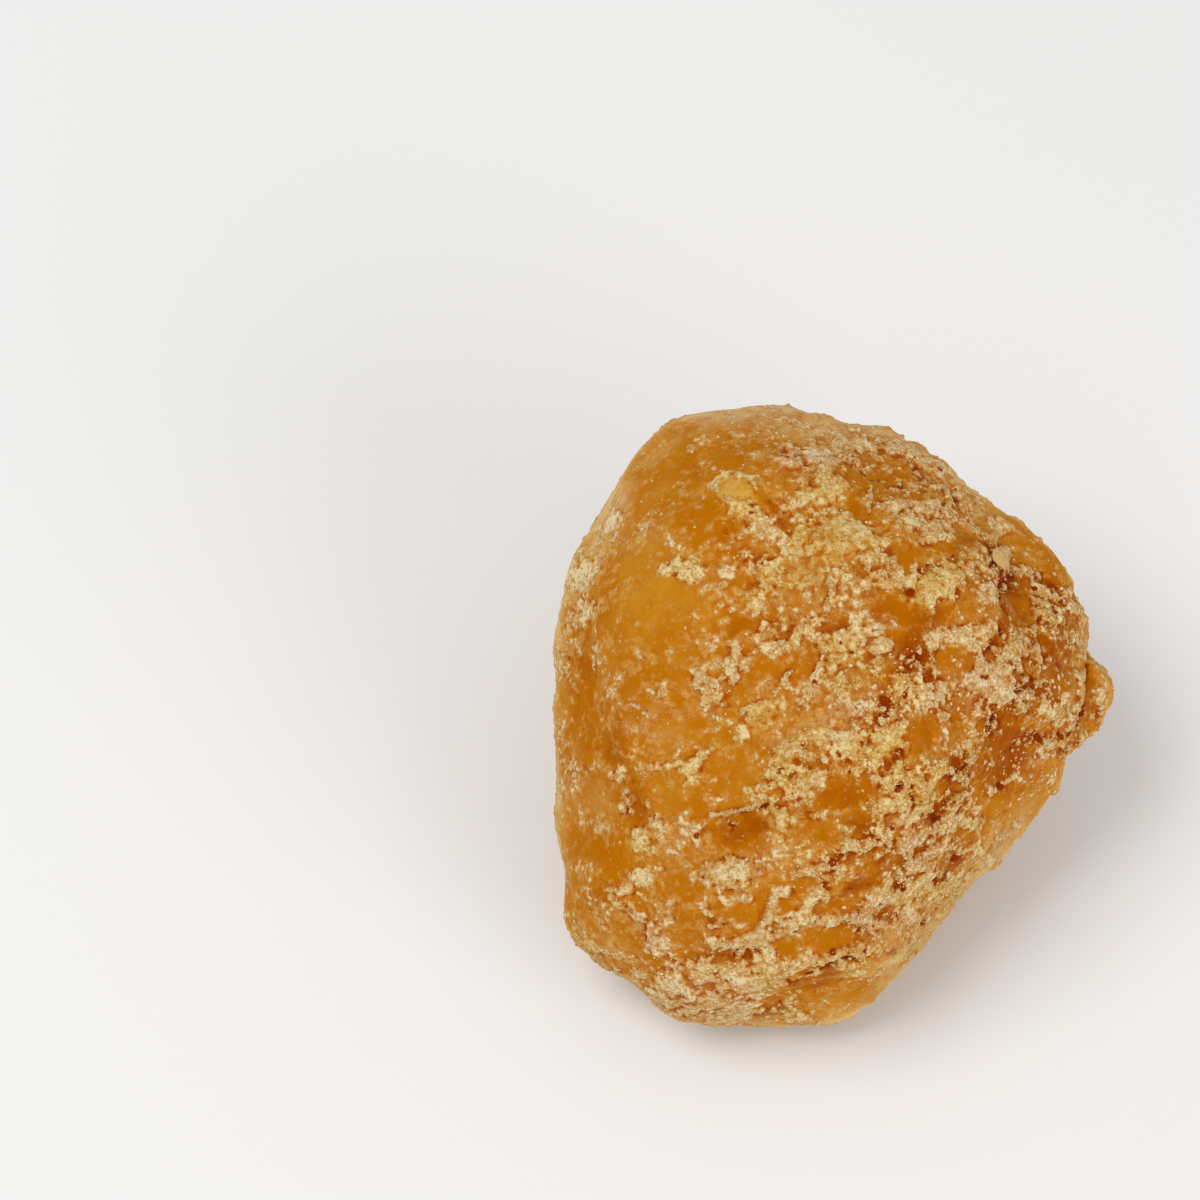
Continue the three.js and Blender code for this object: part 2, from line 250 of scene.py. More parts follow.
# ---- marks on the broad face ---------------------------------------------------------------------------------
# Patches: (a, b) of the middle, half length, half width, the way the length turns from a towards b, weight.
CRUST = [
    # upper left
    (-9.0, 20.7, 1.7, 0.9, 15, 0.9), (-6.8, 19.3, 2.4, 1.4, -20, 0.75), (-4.4, 20.5, 1.2, 0.7, 35, 0.9),
    (-3.2, 25.5, 2.2, 0.9, 10, 0.85), (-4.3, 26.6, 1.1, 0.6, 40, 0.8), (-1.4, 27.4, 0.9, 0.5, 5, 0.7),
    (-8.5, 27.0, 1.2, 0.5, -25, 0.65), (-10.0, 28.7, 1.0, 0.5, -25, 0.65), (-14.7, 14.5, 1.9, 1.1, -10, 1.5), (-15.0, 15.5, 0.8, 0.5, 0, 1.3),
    (-16.6, 14.5, 1.0, 0.45, 15, 1.4), (-12.2, 14.8, 0.8, 0.4, 0, 0.7), (-10.1, 14.4, 1.0, 0.5, 20, 1.0),
    (-11.2, 12.8, 1.4, 0.6, 15, 0.75), (-8.4, 16.0, 1.5, 0.9, -25, 0.8), (-6.4, 15.6, 1.2, 0.8, 0, 0.8),
    (-6.0, 14.0, 1.6, 1.1, 0, 0.8), (-7.6, 11.8, 0.7, 1.5, 20, 0.75), (-2.6, 17.4, 2.6, 1.9, 20, 0.85),
    (-18.3, 19.1, 1.8, 0.6, 10, 0.5), (-16.4, 20.5, 1.6, 0.5, 15, 0.85), (-20.6, 17.3, 1.0, 0.4, -15, 0.6),
    (-24.6, 10.3, 1.5, 0.9, 40, 1.3), (-17.7, 24.9, 0.8, 0.4, 30, 0.6), (-15.2, 25.6, 0.6, 0.3, 0, 0.6),
    (-21.8, 19.2, 0.6, 1.8, -25, 1.4), (-25.0, 14.2, 1.7, 0.8, 38, 1.5), (-21.2, 21.3, 0.5, 1.3, -20, 0.6),
    (-19.6, 22.2, 0.5, 0.4, 0, 0.6), (-12.0, 22.9, 0.4, 0.3, 0, 0.7), (-12.6, 21.8, 0.4, 0.25, -40, 0.7),
    (-11.6, 24.7, 0.4, 0.3, 0, 0.7), (-10.0, 17.2, 0.4, 0.9, -15, 0.7), (-12.4, 19.0, 0.9, 0.4, -20, 0.55),
    # upper right
    (-0.4, 22.8, 2.6, 1.5, 15, 0.95), (2.6, 27.2, 2.4, 0.8, -8, 0.8), (5.8, 26.6, 2.6, 0.9, -12, 0.8),
    (9.4, 25.2, 2.4, 1.1, -25, 0.75), (1.0, 18.4, 3.0, 1.8, 5, 0.9), (4.6, 16.2, 2.2, 1.7, -35, 0.8),
    (7.4, 20.9, 3.2, 0.5, -8, 0.8), (10.3, 20.4, 0.5, 1.3, 5, 0.85), (11.6, 19.2, 0.7, 0.9, 20, 0.85),
    (8.6, 19.1, 1.6, 0.6, -20, 0.75), (10.2, 17.8, 1.9, 0.7, 10, 0.75), (13.4, 16.2, 2.0, 0.9, 25, 0.8),
    (10.6, 13.2, 3.0, 1.6, 12, 1.0), (16.0, 13.0, 1.2, 1.7, 10, 0.75), (15.4, 17.4, 0.6, 1.3, 40, 0.8),
    (17.1, 18.5, 1.5, 0.6, 20, 0.75), (19.8, 14.5, 0.8, 0.4, -20, 0.8), (21.2, 12.6, 1.9, 0.7, -30, 0.75),
    (22.0, 10.2, 1.8, 1.4, -40, 0.85), (24.8, 11.0, 0.7, 1.6, 15, 0.7), (4.9, 13.6, 1.4, 1.0, 0, 0.65),
    (18.4, 16.9, 0.35, 0.25, 0, 0.8), (14.6, 14.7, 1.6, 0.8, 10, 0.7), (3.2, 20.8, 0.8, 0.9, 0, 0.55),
    (-0.2, 20.2, 1.6, 0.8, 15, 0.6), (12.4, 22.9, 1.6, 0.8, -50, 0.5), (1.8, 14.0, 1.6, 1.2, 0, 0.6),
    # middle right
    (1.0, 6.6, 1.9, 1.8, 0, 0.9), (5.1, 7.1, 1.2, 0.9, 0, 0.9), (3.4, 8.2, 2.0, 0.7, 10, 0.75),
    (7.0, 3.4, 1.0, 1.2, 20, 0.9), (12.4, 8.2, 2.5, 0.7, 5, 0.85), (10.2, 6.9, 0.6, 1.2, 10, 0.8),
    (15.4, 7.2, 1.5, 0.8, 30, 0.75), (18.6, 6.4, 1.2, 2.0, 10, 0.75), (15.6, 4.2, 2.0, 1.2, 30, 0.75),
    (17.0, 2.4, 1.7, 1.0, -20, 0.8), (15.0, 1.0, 0.8, 1.6, 10, 0.7), (9.3, 4.4, 0.9, 1.3, 0, 0.85),
    (0.9, -3.0, 3.0, 1.7, 10, 0.9), (5.0, -2.8, 1.9, 2.2, 20, 0.9), (3.0, 0.3, 2.6, 1.0, -10, 0.7),
    (5.9, 0.6, 1.1, 1.3, 0, 0.85), (6.7, -5.9, 1.1, 1.2, 0, 0.9), (9.0, -7.6, 0.9, 1.6, 5, 0.9),
    (5.2, -6.8, 1.0, 0.8, 0, 0.8), (7.7, -9.6, 0.8, 1.8, 5, 0.85), (12.5, -8.8, 1.3, 0.9, 10, 0.85),
    (10.0, 1.6, 1.6, 0.8, 0, 0.6), (21.6, 2.6, 1.6, 0.9, 20, 0.7), (22.2, 0.7, 1.2, 1.4, 10, 0.8),
    (21.0, -3.5, 1.2, 1.2, 0, 0.85), (23.0, -2.6, 1.1, 0.7, 20, 0.75), (23.9, 6.4, 0.6, 1.2, -10, 0.7),
    (19.2, 0.7, 0.6, 0.6, 0, 0.85), (16.7, -0.7, 0.45, 0.35, 0, 0.9), (11.2, 0.0, 0.6, 0.6, 0, 0.95),
    (16.5, -7.4, 0.6, 0.3, 20, 0.95), (13.6, -3.6, 0.8, 1.6, 30, 0.7), (11.4, -3.2, 1.0, 0.8, 0, 0.6),
    (26.9, -0.2, 0.6, 1.8, 0, 0.7), (7.2, -0.4, 0.5, 0.9, 0, 0.7), (2.0, 3.4, 1.2, 0.8, 0, 0.65),
    (13.6, -5.6, 0.5, 0.7, 0, 0.8), (24.6, -1.6, 0.8, 0.4, 30, 0.6), (11.6, -2.0, 0.3, 0.3, 0, 0.0),
    # middle left
    (-3.2, 9.0, 1.9, 0.8, 10, 0.9), (-6.4, 8.6, 1.5, 0.7, 25, 0.85), (-5.6, 6.9, 1.9, 0.7, 10, 0.75),
    (-3.6, 7.5, 0.9, 0.6, 0, 0.85), (-0.6, 7.2, 0.9, 1.0, 0, 0.85), (-9.4, 6.6, 0.5, 0.8, 0, 0.95),
    (-9.8, 4.7, 0.5, 1.4, 0, 1.2), (-8.6, 5.2, 0.4, 0.8, 10, 0.85), (-13.0, 4.2, 0.7, 0.7, 0, 1.2),
    (-12.5, 2.8, 1.1, 0.3, -20, 0.6), (-11.2, 3.2, 0.9, 0.25, -40, 0.6), (-12.3, 1.5, 0.3, 0.5, 0, 0.65),
    (-10.6, 1.2, 0.8, 0.35, -20, 0.9), (-11.4, -0.3, 1.3, 0.3, -20, 0.6), (-17.0, 2.4, 0.7, 0.7, 0, 0.9),
    (-16.8, 1.5, 0.5, 0.5, 0, 0.7), (-19.6, 1.1, 0.35, 0.35, 0, 1.0), (-18.6, 0.3, 0.35, 0.3, 0, 0.9),
    (-18.6, -1.4, 1.0, 0.5, -30, 0.55), (-8.6, -1.5, 0.6, 0.7, 30, 1.3), (-6.8, 0.4, 1.7, 1.2, 35, 0.85),
    (-15.0, -3.0, 0.5, 0.4, 0, 0.7), (-13.8, -5.1, 1.2, 1.0, 40, 1.5), (-12.9, -3.9, 0.3, 0.8, -30, 0.85),
    (-17.0, -5.1, 2.0, 0.45, 5, 1.1), (-21.3, -5.7, 0.8, 0.7, 0, 1.1), (-25.0, -5.0, 1.2, 0.5, -20, 0.5),
    (-20.4, -8.4, 0.6, 1.1, 5, 1.2), (-18.2, -8.6, 0.3, 0.9, 5, 0.85), (-3.4, -3.6, 2.2, 1.2, 35, 0.9),
    (-4.0, -5.4, 1.0, 0.9, 0, 1.0), (-1.4, -5.9, 1.4, 0.8, 0, 0.8), (-5.4, -6.5, 1.5, 0.7, 20, 0.9),
    (-3.4, -7.3, 1.2, 0.7, -10, 0.9), (-1.4, -1.6, 1.9, 0.9, 20, 0.75), (-17.1, -10.8, 0.9, 0.7, -40, 1.2),
    (-19.0, -12.2, 0.9, 1.3, 10, 1.5), (-23.1, -11.0, 0.6, 0.6, -30, 0.65), (-15.0, -11.0, 0.3, 0.5, 0, 0.8),
    (-13.0, -11.4, 1.1, 0.8, 0, 0.7), (-13.3, -12.7, 0.5, 0.7, 0, 0.75), (-5.2, -10.3, 1.3, 1.6, 0, 0.95),
    (-2.2, -9.9, 1.9, 0.5, 5, 0.75), (-10.2, -9.7, 1.7, 0.2, 12, 0.8), (-7.2, -9.3, 1.0, 0.25, 15, 0.8),
    (-26.4, 4.7, 0.8, 1.2, 0, 0.75), (-23.8, 4.4, 0.28, 1.5, 10, 0.75), (-23.7, 6.8, 0.3, 0.4, 0, 0.8),
    (-15.9, 6.4, 0.3, 0.3, 0, 0.7), (-18.9, 5.9, 0.3, 0.2, 0, 0.7), (-7.9, -2.4, 0.4, 1.2, 0, 0.55),
    (-4.6, 3.3, 0.25, 1.2, -25, 0.75), (-1.3, 4.3, 0.34, 2.4, -20, 1.4), (-7.6, -4.6, 0.5, 0.5, 0, 0.6),
    (-12.4, -7.0, 0.5, 0.7, 0, 0.5), (-8.0, -8.0, 0.5, 0.9, 0, 0.6), (-3.0, 1.4, 0.5, 0.5, 0, 0.6),
    # lower left
    (-9.9, -15.6, 2.3, 1.5, 5, 1.4), (-7.3, -13.2, 0.3, 1.1, -20, 0.7), (-8.4, -18.3, 0.5, 0.42, 0, 1.2),
    (-10.8, -18.0, 0.3, 0.8, 5, 0.8), (-18.9, -16.1, 1.2, 0.8, 10, 1.3), (-16.9, -15.4, 1.0, 0.5, 10, 0.6),
    (-21.2, -17.5, 1.7, 0.3, -5, 0.85), (-20.6, -18.8, 1.9, 0.4, -42, 0.85), (-19.0, -20.3, 1.0, 0.6, -30, 0.75),
    (-16.0, -20.4, 1.4, 0.35, 10, 0.55), (-17.8, -22.0, 0.8, 1.2, 10, 1.0), (-11.0, -22.6, 1.3, 0.4, -20, 0.85),
    (-8.6, -22.6, 3.0, 0.5, 5, 0.8), (-6.6, -21.2, 1.2, 0.5, 25, 0.85), (-8.0, -24.7, 3.0, 0.8, 5, 0.85),
    (-12.6, -24.7, 0.6, 0.9, 20, 1.1), (-16.0, -26.3, 1.2, 1.0, 0, 1.4), (-17.2, -28.2, 1.8, 0.5, -35, 0.75),
    (-12.2, -28.6, 2.6, 1.0, -8, 0.65), (-9.0, -27.6, 2.4, 1.0, 0, 0.8), (-11.8, -26.6, 1.7, 0.8, -10, 1.0), (-6.0, -26.5, 2.2, 0.9, 10, 0.8),
    (-9.6, -29.9, 0.6, 0.6, 0, 0.95), (-4.2, -28.5, 0.7, 0.3, 0, 0.9), (-3.6, -30.0, 1.4, 0.35, -10, 0.8),
    (-6.0, -19.6, 0.25, 1.8, -12, 0.8), (-4.2, -17.6, 0.8, 0.5, 0, 0.85), (-1.8, -15.4, 1.7, 0.5, 18, 0.9),
    (-0.8, -18.0, 1.3, 1.2, 30, 0.85), (-2.6, -19.6, 1.2, 1.0, 20, 0.85), (-3.4, -21.3, 0.9, 0.6, 0, 0.75),
    (-24.4, -22.6, 1.8, 0.5, -35, 0.7), (-25.4, -15.3, 0.4, 0.35, -30, 0.95), (-21.3, -25.4, 0.6, 0.25, -20, 0.8),
    (-18.9, -25.8, 0.4, 0.3, 0, 0.8), (-20.0, -24.1, 1.4, 0.2, -5, 0.5), (-13.4, -23.0, 0.5, 0.5, 0, 0.4),
    # lower right
    (2.4, -13.2, 1.9, 0.8, 15, 0.8), (5.0, -12.2, 1.3, 0.7, -30, 0.85), (1.0, -14.4, 0.8, 0.7, 0, 0.8),
    (7.0, -12.9, 1.1, 0.5, 0, 0.75), (-0.4, -15.6, 1.6, 0.7, 10, 0.8), (5.4, -18.0, 2.6, 0.8, 38, 0.85),
    (8.6, -14.6, 1.2, 1.7, 10, 0.85), (9.0, -17.2, 1.6, 1.4, 0, 0.8), (8.6, -19.6, 1.7, 1.3, 30, 0.85),
    (1.0, -20.4, 3.4, 0.45, 3, 0.85), (4.6, -21.0, 0.9, 1.0, 0, 0.8), (2.6, -23.9, 1.1, 0.8, 0, 0.8),
    (1.0, -24.8, 0.6, 0.6, 0, 0.8), (-1.2, -25.6, 0.7, 0.5, 0, 1.3), (6.6, -23.5, 0.8, 0.4, 10, 0.7),
    (10.6, -13.2, 1.1, 0.6, 20, 0.85), (12.4, -17.4, 1.9, 0.8, 48, 0.75), (16.9, -12.6, 2.0, 0.5, 48, 0.75),
    (14.6, -13.4, 0.8, 0.9, 30, 0.7), (8.6, -22.2, 0.8, 1.6, -25, 0.7), (12.4, -10.4, 1.2, 0.8, 0, 0.6),
    (10.9, -10.9, 0.8, 0.8, 0, 0.75), (6.9, -15.6, 0.6, 0.5, 0, 0.55), (-0.6, -27.0, 0.5, 0.4, 0, 0.85),
    (0.9, -26.6, 0.7, 0.4, 30, 0.75), (-2.9, -27.7, 0.3, 0.3, 0, 0.8), (2.8, -16.1, 0.7, 0.4, 0, 0.6),
    (18.4, -10.8, 0.9, 0.5, 40, 0.6), (3.4, -27.2, 0.4, 0.2, 0, 0.6), (1.6, -11.6, 0.8, 0.5, 0, 0.65),
    (5.2, -9.8, 1.0, 0.8, 0, 0.75), (-4.0, -24.9, 3.2, 0.5, 14, 0.8),
    (-7.1, -21.3, 1.1, 0.40, 42, 1.25), (-6.1, -19.9, 1.2, 0.34, 66, 1.3), (-5.6, -18.2, 0.9, 0.32, 72, 1.3),
    (-4.9, -17.5, 0.8, 0.30, 10, 1.2), (-1.6, -18.1, 1.5, 0.60, 48, 1.3), (-2.7, -20.2, 1.0, 0.55, -40, 1.2),
    # the hazy band at the upper right, and the disc below it
    (13.6, 21.9, 3.4, 0.7, -42, 0.9), (16.4, 19.6, 1.6, 0.6, -35, 0.8), (17.0, 15.7, 0.75, 1.1, -15, 1.15),
    (-2.6, 14.2, 2.2, 1.5, 15, 0.55),
    # on the nub and under it
    (27.0, 1.6, 0.5, 1.2, 15, 1.1), (26.6, 0.2, 0.7, 0.5, 40, 1.05), (25.2, -2.2, 1.0, 0.5, 35, 1.0),
    (24.0, -2.9, 0.8, 0.4, 20, 0.95), (27.4, 3.3, 0.3, 0.7, 0, 0.85),
    # a ring about the plate at the upper left
    (-10.5, 24.0, 1.1, 0.40, 25, 1.4), (-11.4, 22.9, 0.35, 0.8, 10, 1.2), (-8.4, 23.7, 0.9, 0.40, -30, 1.4),
    (-7.5, 22.8, 0.35, 0.7, 10, 1.0),
    # faint lace at the lower left
    (-12.2, -19.6, 0.4, 1.4, 20, 0.8), (-15.4, -18.9, 1.2, 0.4, -15, 0.7), (-11.2, -20.8, 1.4, 0.4, 10, 0.7),
    (-14.9, -24.4, 1.2, 0.4, -20, 0.7), (-16.4, -22.9, 0.4, 1.0, 0, 0.8), (-13.4, -16.2, 0.9, 0.4, 20, 0.6),
    (-10.4, -26.2, 1.6, 0.7, -5, 0.8), (-13.6, -29.6, 1.8, 0.5, -10, 0.9), (-7.6, -29.4, 1.6, 0.5, 0, 0.8),
    (-10.4, -30.4, 1.6, 0.4, 0, 0.9),
]
BARE = [
    # smooth amber, kept clean
    (-17.0, 23.6, 4.6, 2.4, 15, 0.9), (-14.4, 20.6, 3.4, 2.0, 0, 0.7), (-10.4, 18.6, 0.9, 2.4, 25, 1.0),
    (-17.0, 10.6, 6.0, 3.6, 10, 0.9), (-5.2, 20.4, 0.7, 1.8, 35, 0.8), (-18.0, 15.8, 2.6, 1.6, 0, 0.7),
    (-9.0, 26.0, 4.0, 2.4, -10, 0.6), (2.6, 21.6, 1.2, 1.7, 0, 0.9), (6.0, 24.6, 2.8, 0.9, -10, 0.8),
    (9.2, 23.9, 1.8, 0.8, -15, 0.8), (7.7, 16.0, 1.3, 1.3, 0, 1.0), (13.0, 17.3, 1.4, 1.1, 20, 1.0),
    (8.2, 10.4, 2.8, 1.5, -15, 1.0), (19.4, 17.6, 2.2, 1.4, -40, 0.8), (22.8, 14.6, 2.4, 0.9, -50, 0.9),
    (18.3, 12.4, 1.3, 2.2, 0, 1.0), (14.4, 11.3, 1.0, 0.9, 0, 0.8), (7.6, 7.6, 1.6, 2.4, -10, 1.0),
    (13.0, 5.6, 1.9, 1.4, 20, 0.9), (14.6, 2.0, 0.9, 0.7, 0, 0.8), (9.4, -1.6, 1.5, 2.5, -10, 0.95),
    (18.4, -3.0, 2.3, 3.2, 20, 1.0), (22.8, 7.6, 1.2, 1.1, 0, 0.8), (22.9, 4.9, 1.3, 1.0, 0, 0.7), (19.2, 8.4, 0.9, 0.8, 0, 0.7),
    (23.2, 3.0, 0.8, 1.0, 0, 0.7), (26.0, 2.8, 0.8, 1.5, 10, 0.8), (17.6, -9.4, 3.4, 2.4, 40, 0.7),
    (1.0, -8.0, 2.3, 1.4, 0, 1.0), (3.6, -7.6, 1.2, 1.2, 0, 0.8), (5.5, -9.0, 0.8, 0.6, 20, 0.7),
    (12.0, -6.2, 0.8, 0.9, 0, 0.7), (14.6, -6.0, 1.8, 1.2, 0, 0.7), (-14.8, -1.6, 3.4, 1.8, 0, 0.7),
    (-10.2, -5.2, 2.6, 3.0, 0, 0.9), (-24.6, 1.2, 1.3, 4.0, 5, 0.9), (-22.6, -3.2, 1.0, 2.6, 35, 0.8),
    (-19.6, -7.6, 0.8, 3.2, 12, 0.9), (-8.2, -11.3, 2.6, 1.3, 10, 1.0), (-2.6, 5.4, 1.4, 1.9, -20, 0.9),
    (-6.0, 4.6, 1.9, 1.5, 0, 0.8), (-22.4, -14.2, 3.2, 2.8, 0, 0.8), (-14.0, -17.8, 3.2, 2.0, 0, 0.4),
    (-8.6, -19.4, 2.6, 1.1, 0, 0.9), (-14.2, -22.2, 2.0, 1.3, -10, 0.7), (-0.8, -12.2, 3.4, 1.3, 5, 0.9),
    (-8.4, -12.6, 2.4, 1.0, 0, 0.9), (-1.4, -22.5, 2.8, 1.0, 5, 0.95), (-2.2, -26.6, 2.8, 1.3, 12, 1.3),
    (2.4, -17.3, 2.9, 0.8, 22, 1.0), (0.4, -18.9, 1.8, 0.6, 8, 0.9), (5.3, -15.0, 0.8, 0.8, 0, 0.8),
    (7.3, -15.0, 0.6, 0.6, 0, 0.8), (3.2, -22.3, 1.1, 0.7, 0, 0.8), (12.6, -14.6, 0.9, 0.6, 20, 0.7),
    (2.4, -28.0, 2.8, 1.0, 20, 0.9), (6.0, -21.8, 1.0, 0.7, 20, 0.6), (-23.0, -8.4, 2.2, 1.8, 0, 0.5),
    (-16.0, -7.4, 2.2, 1.6, 0, 0.6), (2.0, -10.6, 1.0, 0.5, 0, 0.6), (13.2, -1.6, 0.8, 1.4, 0, 0.5),
]
# Thin frost: the same, a pale haze over the amber.
FROST = [
    (-22.3, 18.8, 1.1, 4.8, -25, 1.6), (-25.8, 13.4, 1.5, 3.6, -35, 1.5), (-27.2, 7.4, 0.9, 5.4, 0, 1.1),
    (-17.8, 26.2, 1.4, 4.0, -50, 0.6), (-9.0, 30.4, 6.0, 1.3, 3, 1.2), (-1.0, 28.6, 5.0, 1.6, -10, 1.1),
    (5.0, 27.6, 5.0, 1.2, -14, 0.8), (13.4, 22.4, 4.8, 1.2, -42, 1.25), (-3.0, 16.4, 3.2, 2.6, 0, 0.6),
    (-19.0, 18.6, 3.2, 1.6, 0, 0.5), (-17.0, -1.0, 4.0, 2.4, 0, 0.3), (0.0, 16.0, 3.6, 3.0, 0, 0.5),
    (-23.4, -8.6, 2.6, 2.0, 0, 0.5), (-16.4, -12.4, 3.0, 2.4, 0, 0.4), (-6.4, 0.2, 2.4, 1.8, 30, 0.6),
    (-16.6, -21.4, 3.2, 1.6, 0, 0.35), (-12.0, -28.4, 5.0, 1.8, -6, 0.5), (-22.4, -22.8, 3.6, 1.2, -35, 0.55),
    (9.2, -18.6, 2.6, 4.0, -35, 0.6), (15.0, 2.6, 2.6, 3.0, 20, 0.6), (12.6, -17.8, 1.5, 3.4, -42, 0.8),
    (18.8, -10.8, 1.0, 2.4, -32, 1.0), (16.2, -13.8, 1.2, 2.4, -40, 0.95), (9.4, -22.0, 1.3, 2.8, -34, 0.95),
    (6.2, -25.8, 1.3, 2.4, -44, 0.9), (24.4, 8.6, 1.2, 4.4, 5, 0.8), (20.6, -5.2, 1.8, 2.2, 0, 0.5),
    (3.0, 2.2, 4.0, 2.4, 0, 0.5), (10.4, -3.0, 3.0, 2.0, 0, 0.4), (22.0, 4.4, 3.0, 3.6, 0, 0.15),
    (2.6, -24.8, 5.0, 1.6, 20, 0.3), (16.0, 8.6, 2.6, 2.6, 0, 0.5), (6.4, -22.8, 1.8, 2.4, 0, 0.6),
    (1.0, -30.4, 3.4, 1.2, 8, 1.0), (-6.0, -31.0, 4.5, 1.0, -3, 0.8),
    (-4.0, -13.4, 2.6, 1.0, 0, 0.3), (27.4, 1.6, 0.8, 3.4, 0, 0.6), (-27.0, -10.0, 0.8, 6.0, 2, 0.6),
    (-6.0, 24.4, 2.4, 1.6, 0, 0.35), (-12.6, -20.6, 2.4, 1.4, 0, 0.3), (-2.0, 12.6, 3.0, 1.6, 0, 0.35),
]
# Darker, deeper amber (above zero) and lighter, yellower amber (below): partly the amber's own colour, partly painted
# shade in hollows, creases and under the ledges and painted light on swellings.
AMBER_DEPTH_AND_SHADING = [
    (-24.4, 1.4, 1.4, 4.6, 6, 0.7), (-22.0, -3.6, 1.3, 3.0, 38, 0.6), (-19.6, -8.0, 1.0, 3.4, 12, 0.7),
    (-8.6, -11.2, 2.6, 1.2, 12, 1.0), (0.8, -7.8, 2.4, 1.4, 0, 0.6), (-13.0, 19.4, 4.0, 1.6, -30, 0.4),
    (-10.2, 18.2, 0.9, 2.2, 28, 0.4), (-5.4, 20.6, 0.5, 1.7, 38, 0.8), (2.6, 21.4, 1.0, 1.6, 0, 0.7),
    (7.8, 15.8, 1.3, 1.3, 0, 0.25), (13.0, 17.3, 1.3, 1.0, 20, 0.8), (8.2, 10.0, 2.8, 1.7, -15, 0.45),
    (18.0, 13.2, 1.1, 1.9, 0, 1.0), (17.8, 10.0, 0.8, 2.0, 0, 0.9), (7.8, 6.6, 1.5, 2.2, -12, 0.8),
    (17.6, -2.4, 2.0, 3.2, 20, 0.95), (16.6, -5.2, 2.6, 2.2, 30, 0.75), (12.0, -6.2, 1.0, 1.4, 0, 0.8),
    (9.4, -1.8, 1.2, 2.4, -10, 0.5), (-11.4, 2.2, 0.9, 2.4, -20, 0.5), (-9.6, 8.0, 1.4, 2.8, -10, 0.5),
    (-2.6, 5.4, 1.3, 1.9, -20, -0.2), (2.4, -17.3, 2.6, 0.7, 22, 0.8), (7.3, -15.0, 0.6, 0.6, 0, 0.9),
    (5.3, -15.0, 0.8, 0.7, 0, 0.7), (-1.8, -26.4, 3.2, 1.0, 18, 0.80), (0.6, -24.6, 2.4, 0.5, 16, 0.9),
    (3.4, -22.2, 1.2, 0.6, 0, 0.8), (-5.0, -29.2, 1.6, 0.6, 0, 0.5), (12.6, -14.6, 0.8, 0.6, 20, 0.8),
    (11.6, -15.8, 1.2, 1.0, 40, 0.7), (10.6, -11.0, 0.9, 1.6, 0, 0.8), (26.0, 2.2, 0.7, 2.4, 8, 0.9),
    (22.6, 7.4, 1.1, 1.1, 0, 0.6), (-17.0, -12.6, 1.4, 0.5, 10, 0.5), (-5.2, -18.8, 0.9, 1.0, 0, 0.5),
    (4.6, 5.6, 1.6, 0.7, 10, 0.5), (-10.4, -23.6, 2.8, 0.5, 0, 0.8), (-10.6, -26.8, 3.4, 1.3, -4, -0.4),
    (8.4, 5.4, 0.8, 0.8, 0, 0.8), (6.0, -10.8, 1.4, 0.8, -20, 0.5), (-7.0, 12.0, 2.0, 3.0, 0, 0.3),
    (-22.0, -15.0, 3.4, 3.4, 0, 0.25), (-14.0, -18.4, 3.4, 2.4, 0, 0.2), (1.2, -14.6, 1.4, 0.4, 0, 0.5),
    (9.4, 23.4, 2.4, 0.9, -18, 0.5), (21.6, 14.0, 1.8, 0.4, -32, 0.8), (-22.4, 11.6, 2.6, 1.0, 60, 0.4),
    (-17.0, 11.0, 5.4, 3.4, 10, -0.55), (-23.0, -8.6, 2.4, 1.8, 0, -0.5), (0.6, 17.6, 3.2, 2.0, 0, -0.7),
    (-9.6, 22.4, 1.6, 1.2, 10, -0.8), (17.6, -9.8, 2.8, 1.8, 40, -0.5), (2.6, -28.0, 2.6, 1.0, 20, -0.3),
    (-6.6, 0.2, 1.6, 1.2, 30, -0.6), (0.0, -10.6, 1.6, 0.8, 10, -0.4), (11.2, 13.4, 2.6, 1.2, 10, -0.6),
    (6.0, -21.4, 1.2, 1.2, 0, -0.4), (-15.4, -7.4, 2.0, 1.6, 0, -0.2), (-17.0, 22.6, 4.0, 2.4, 15, -0.35),
]
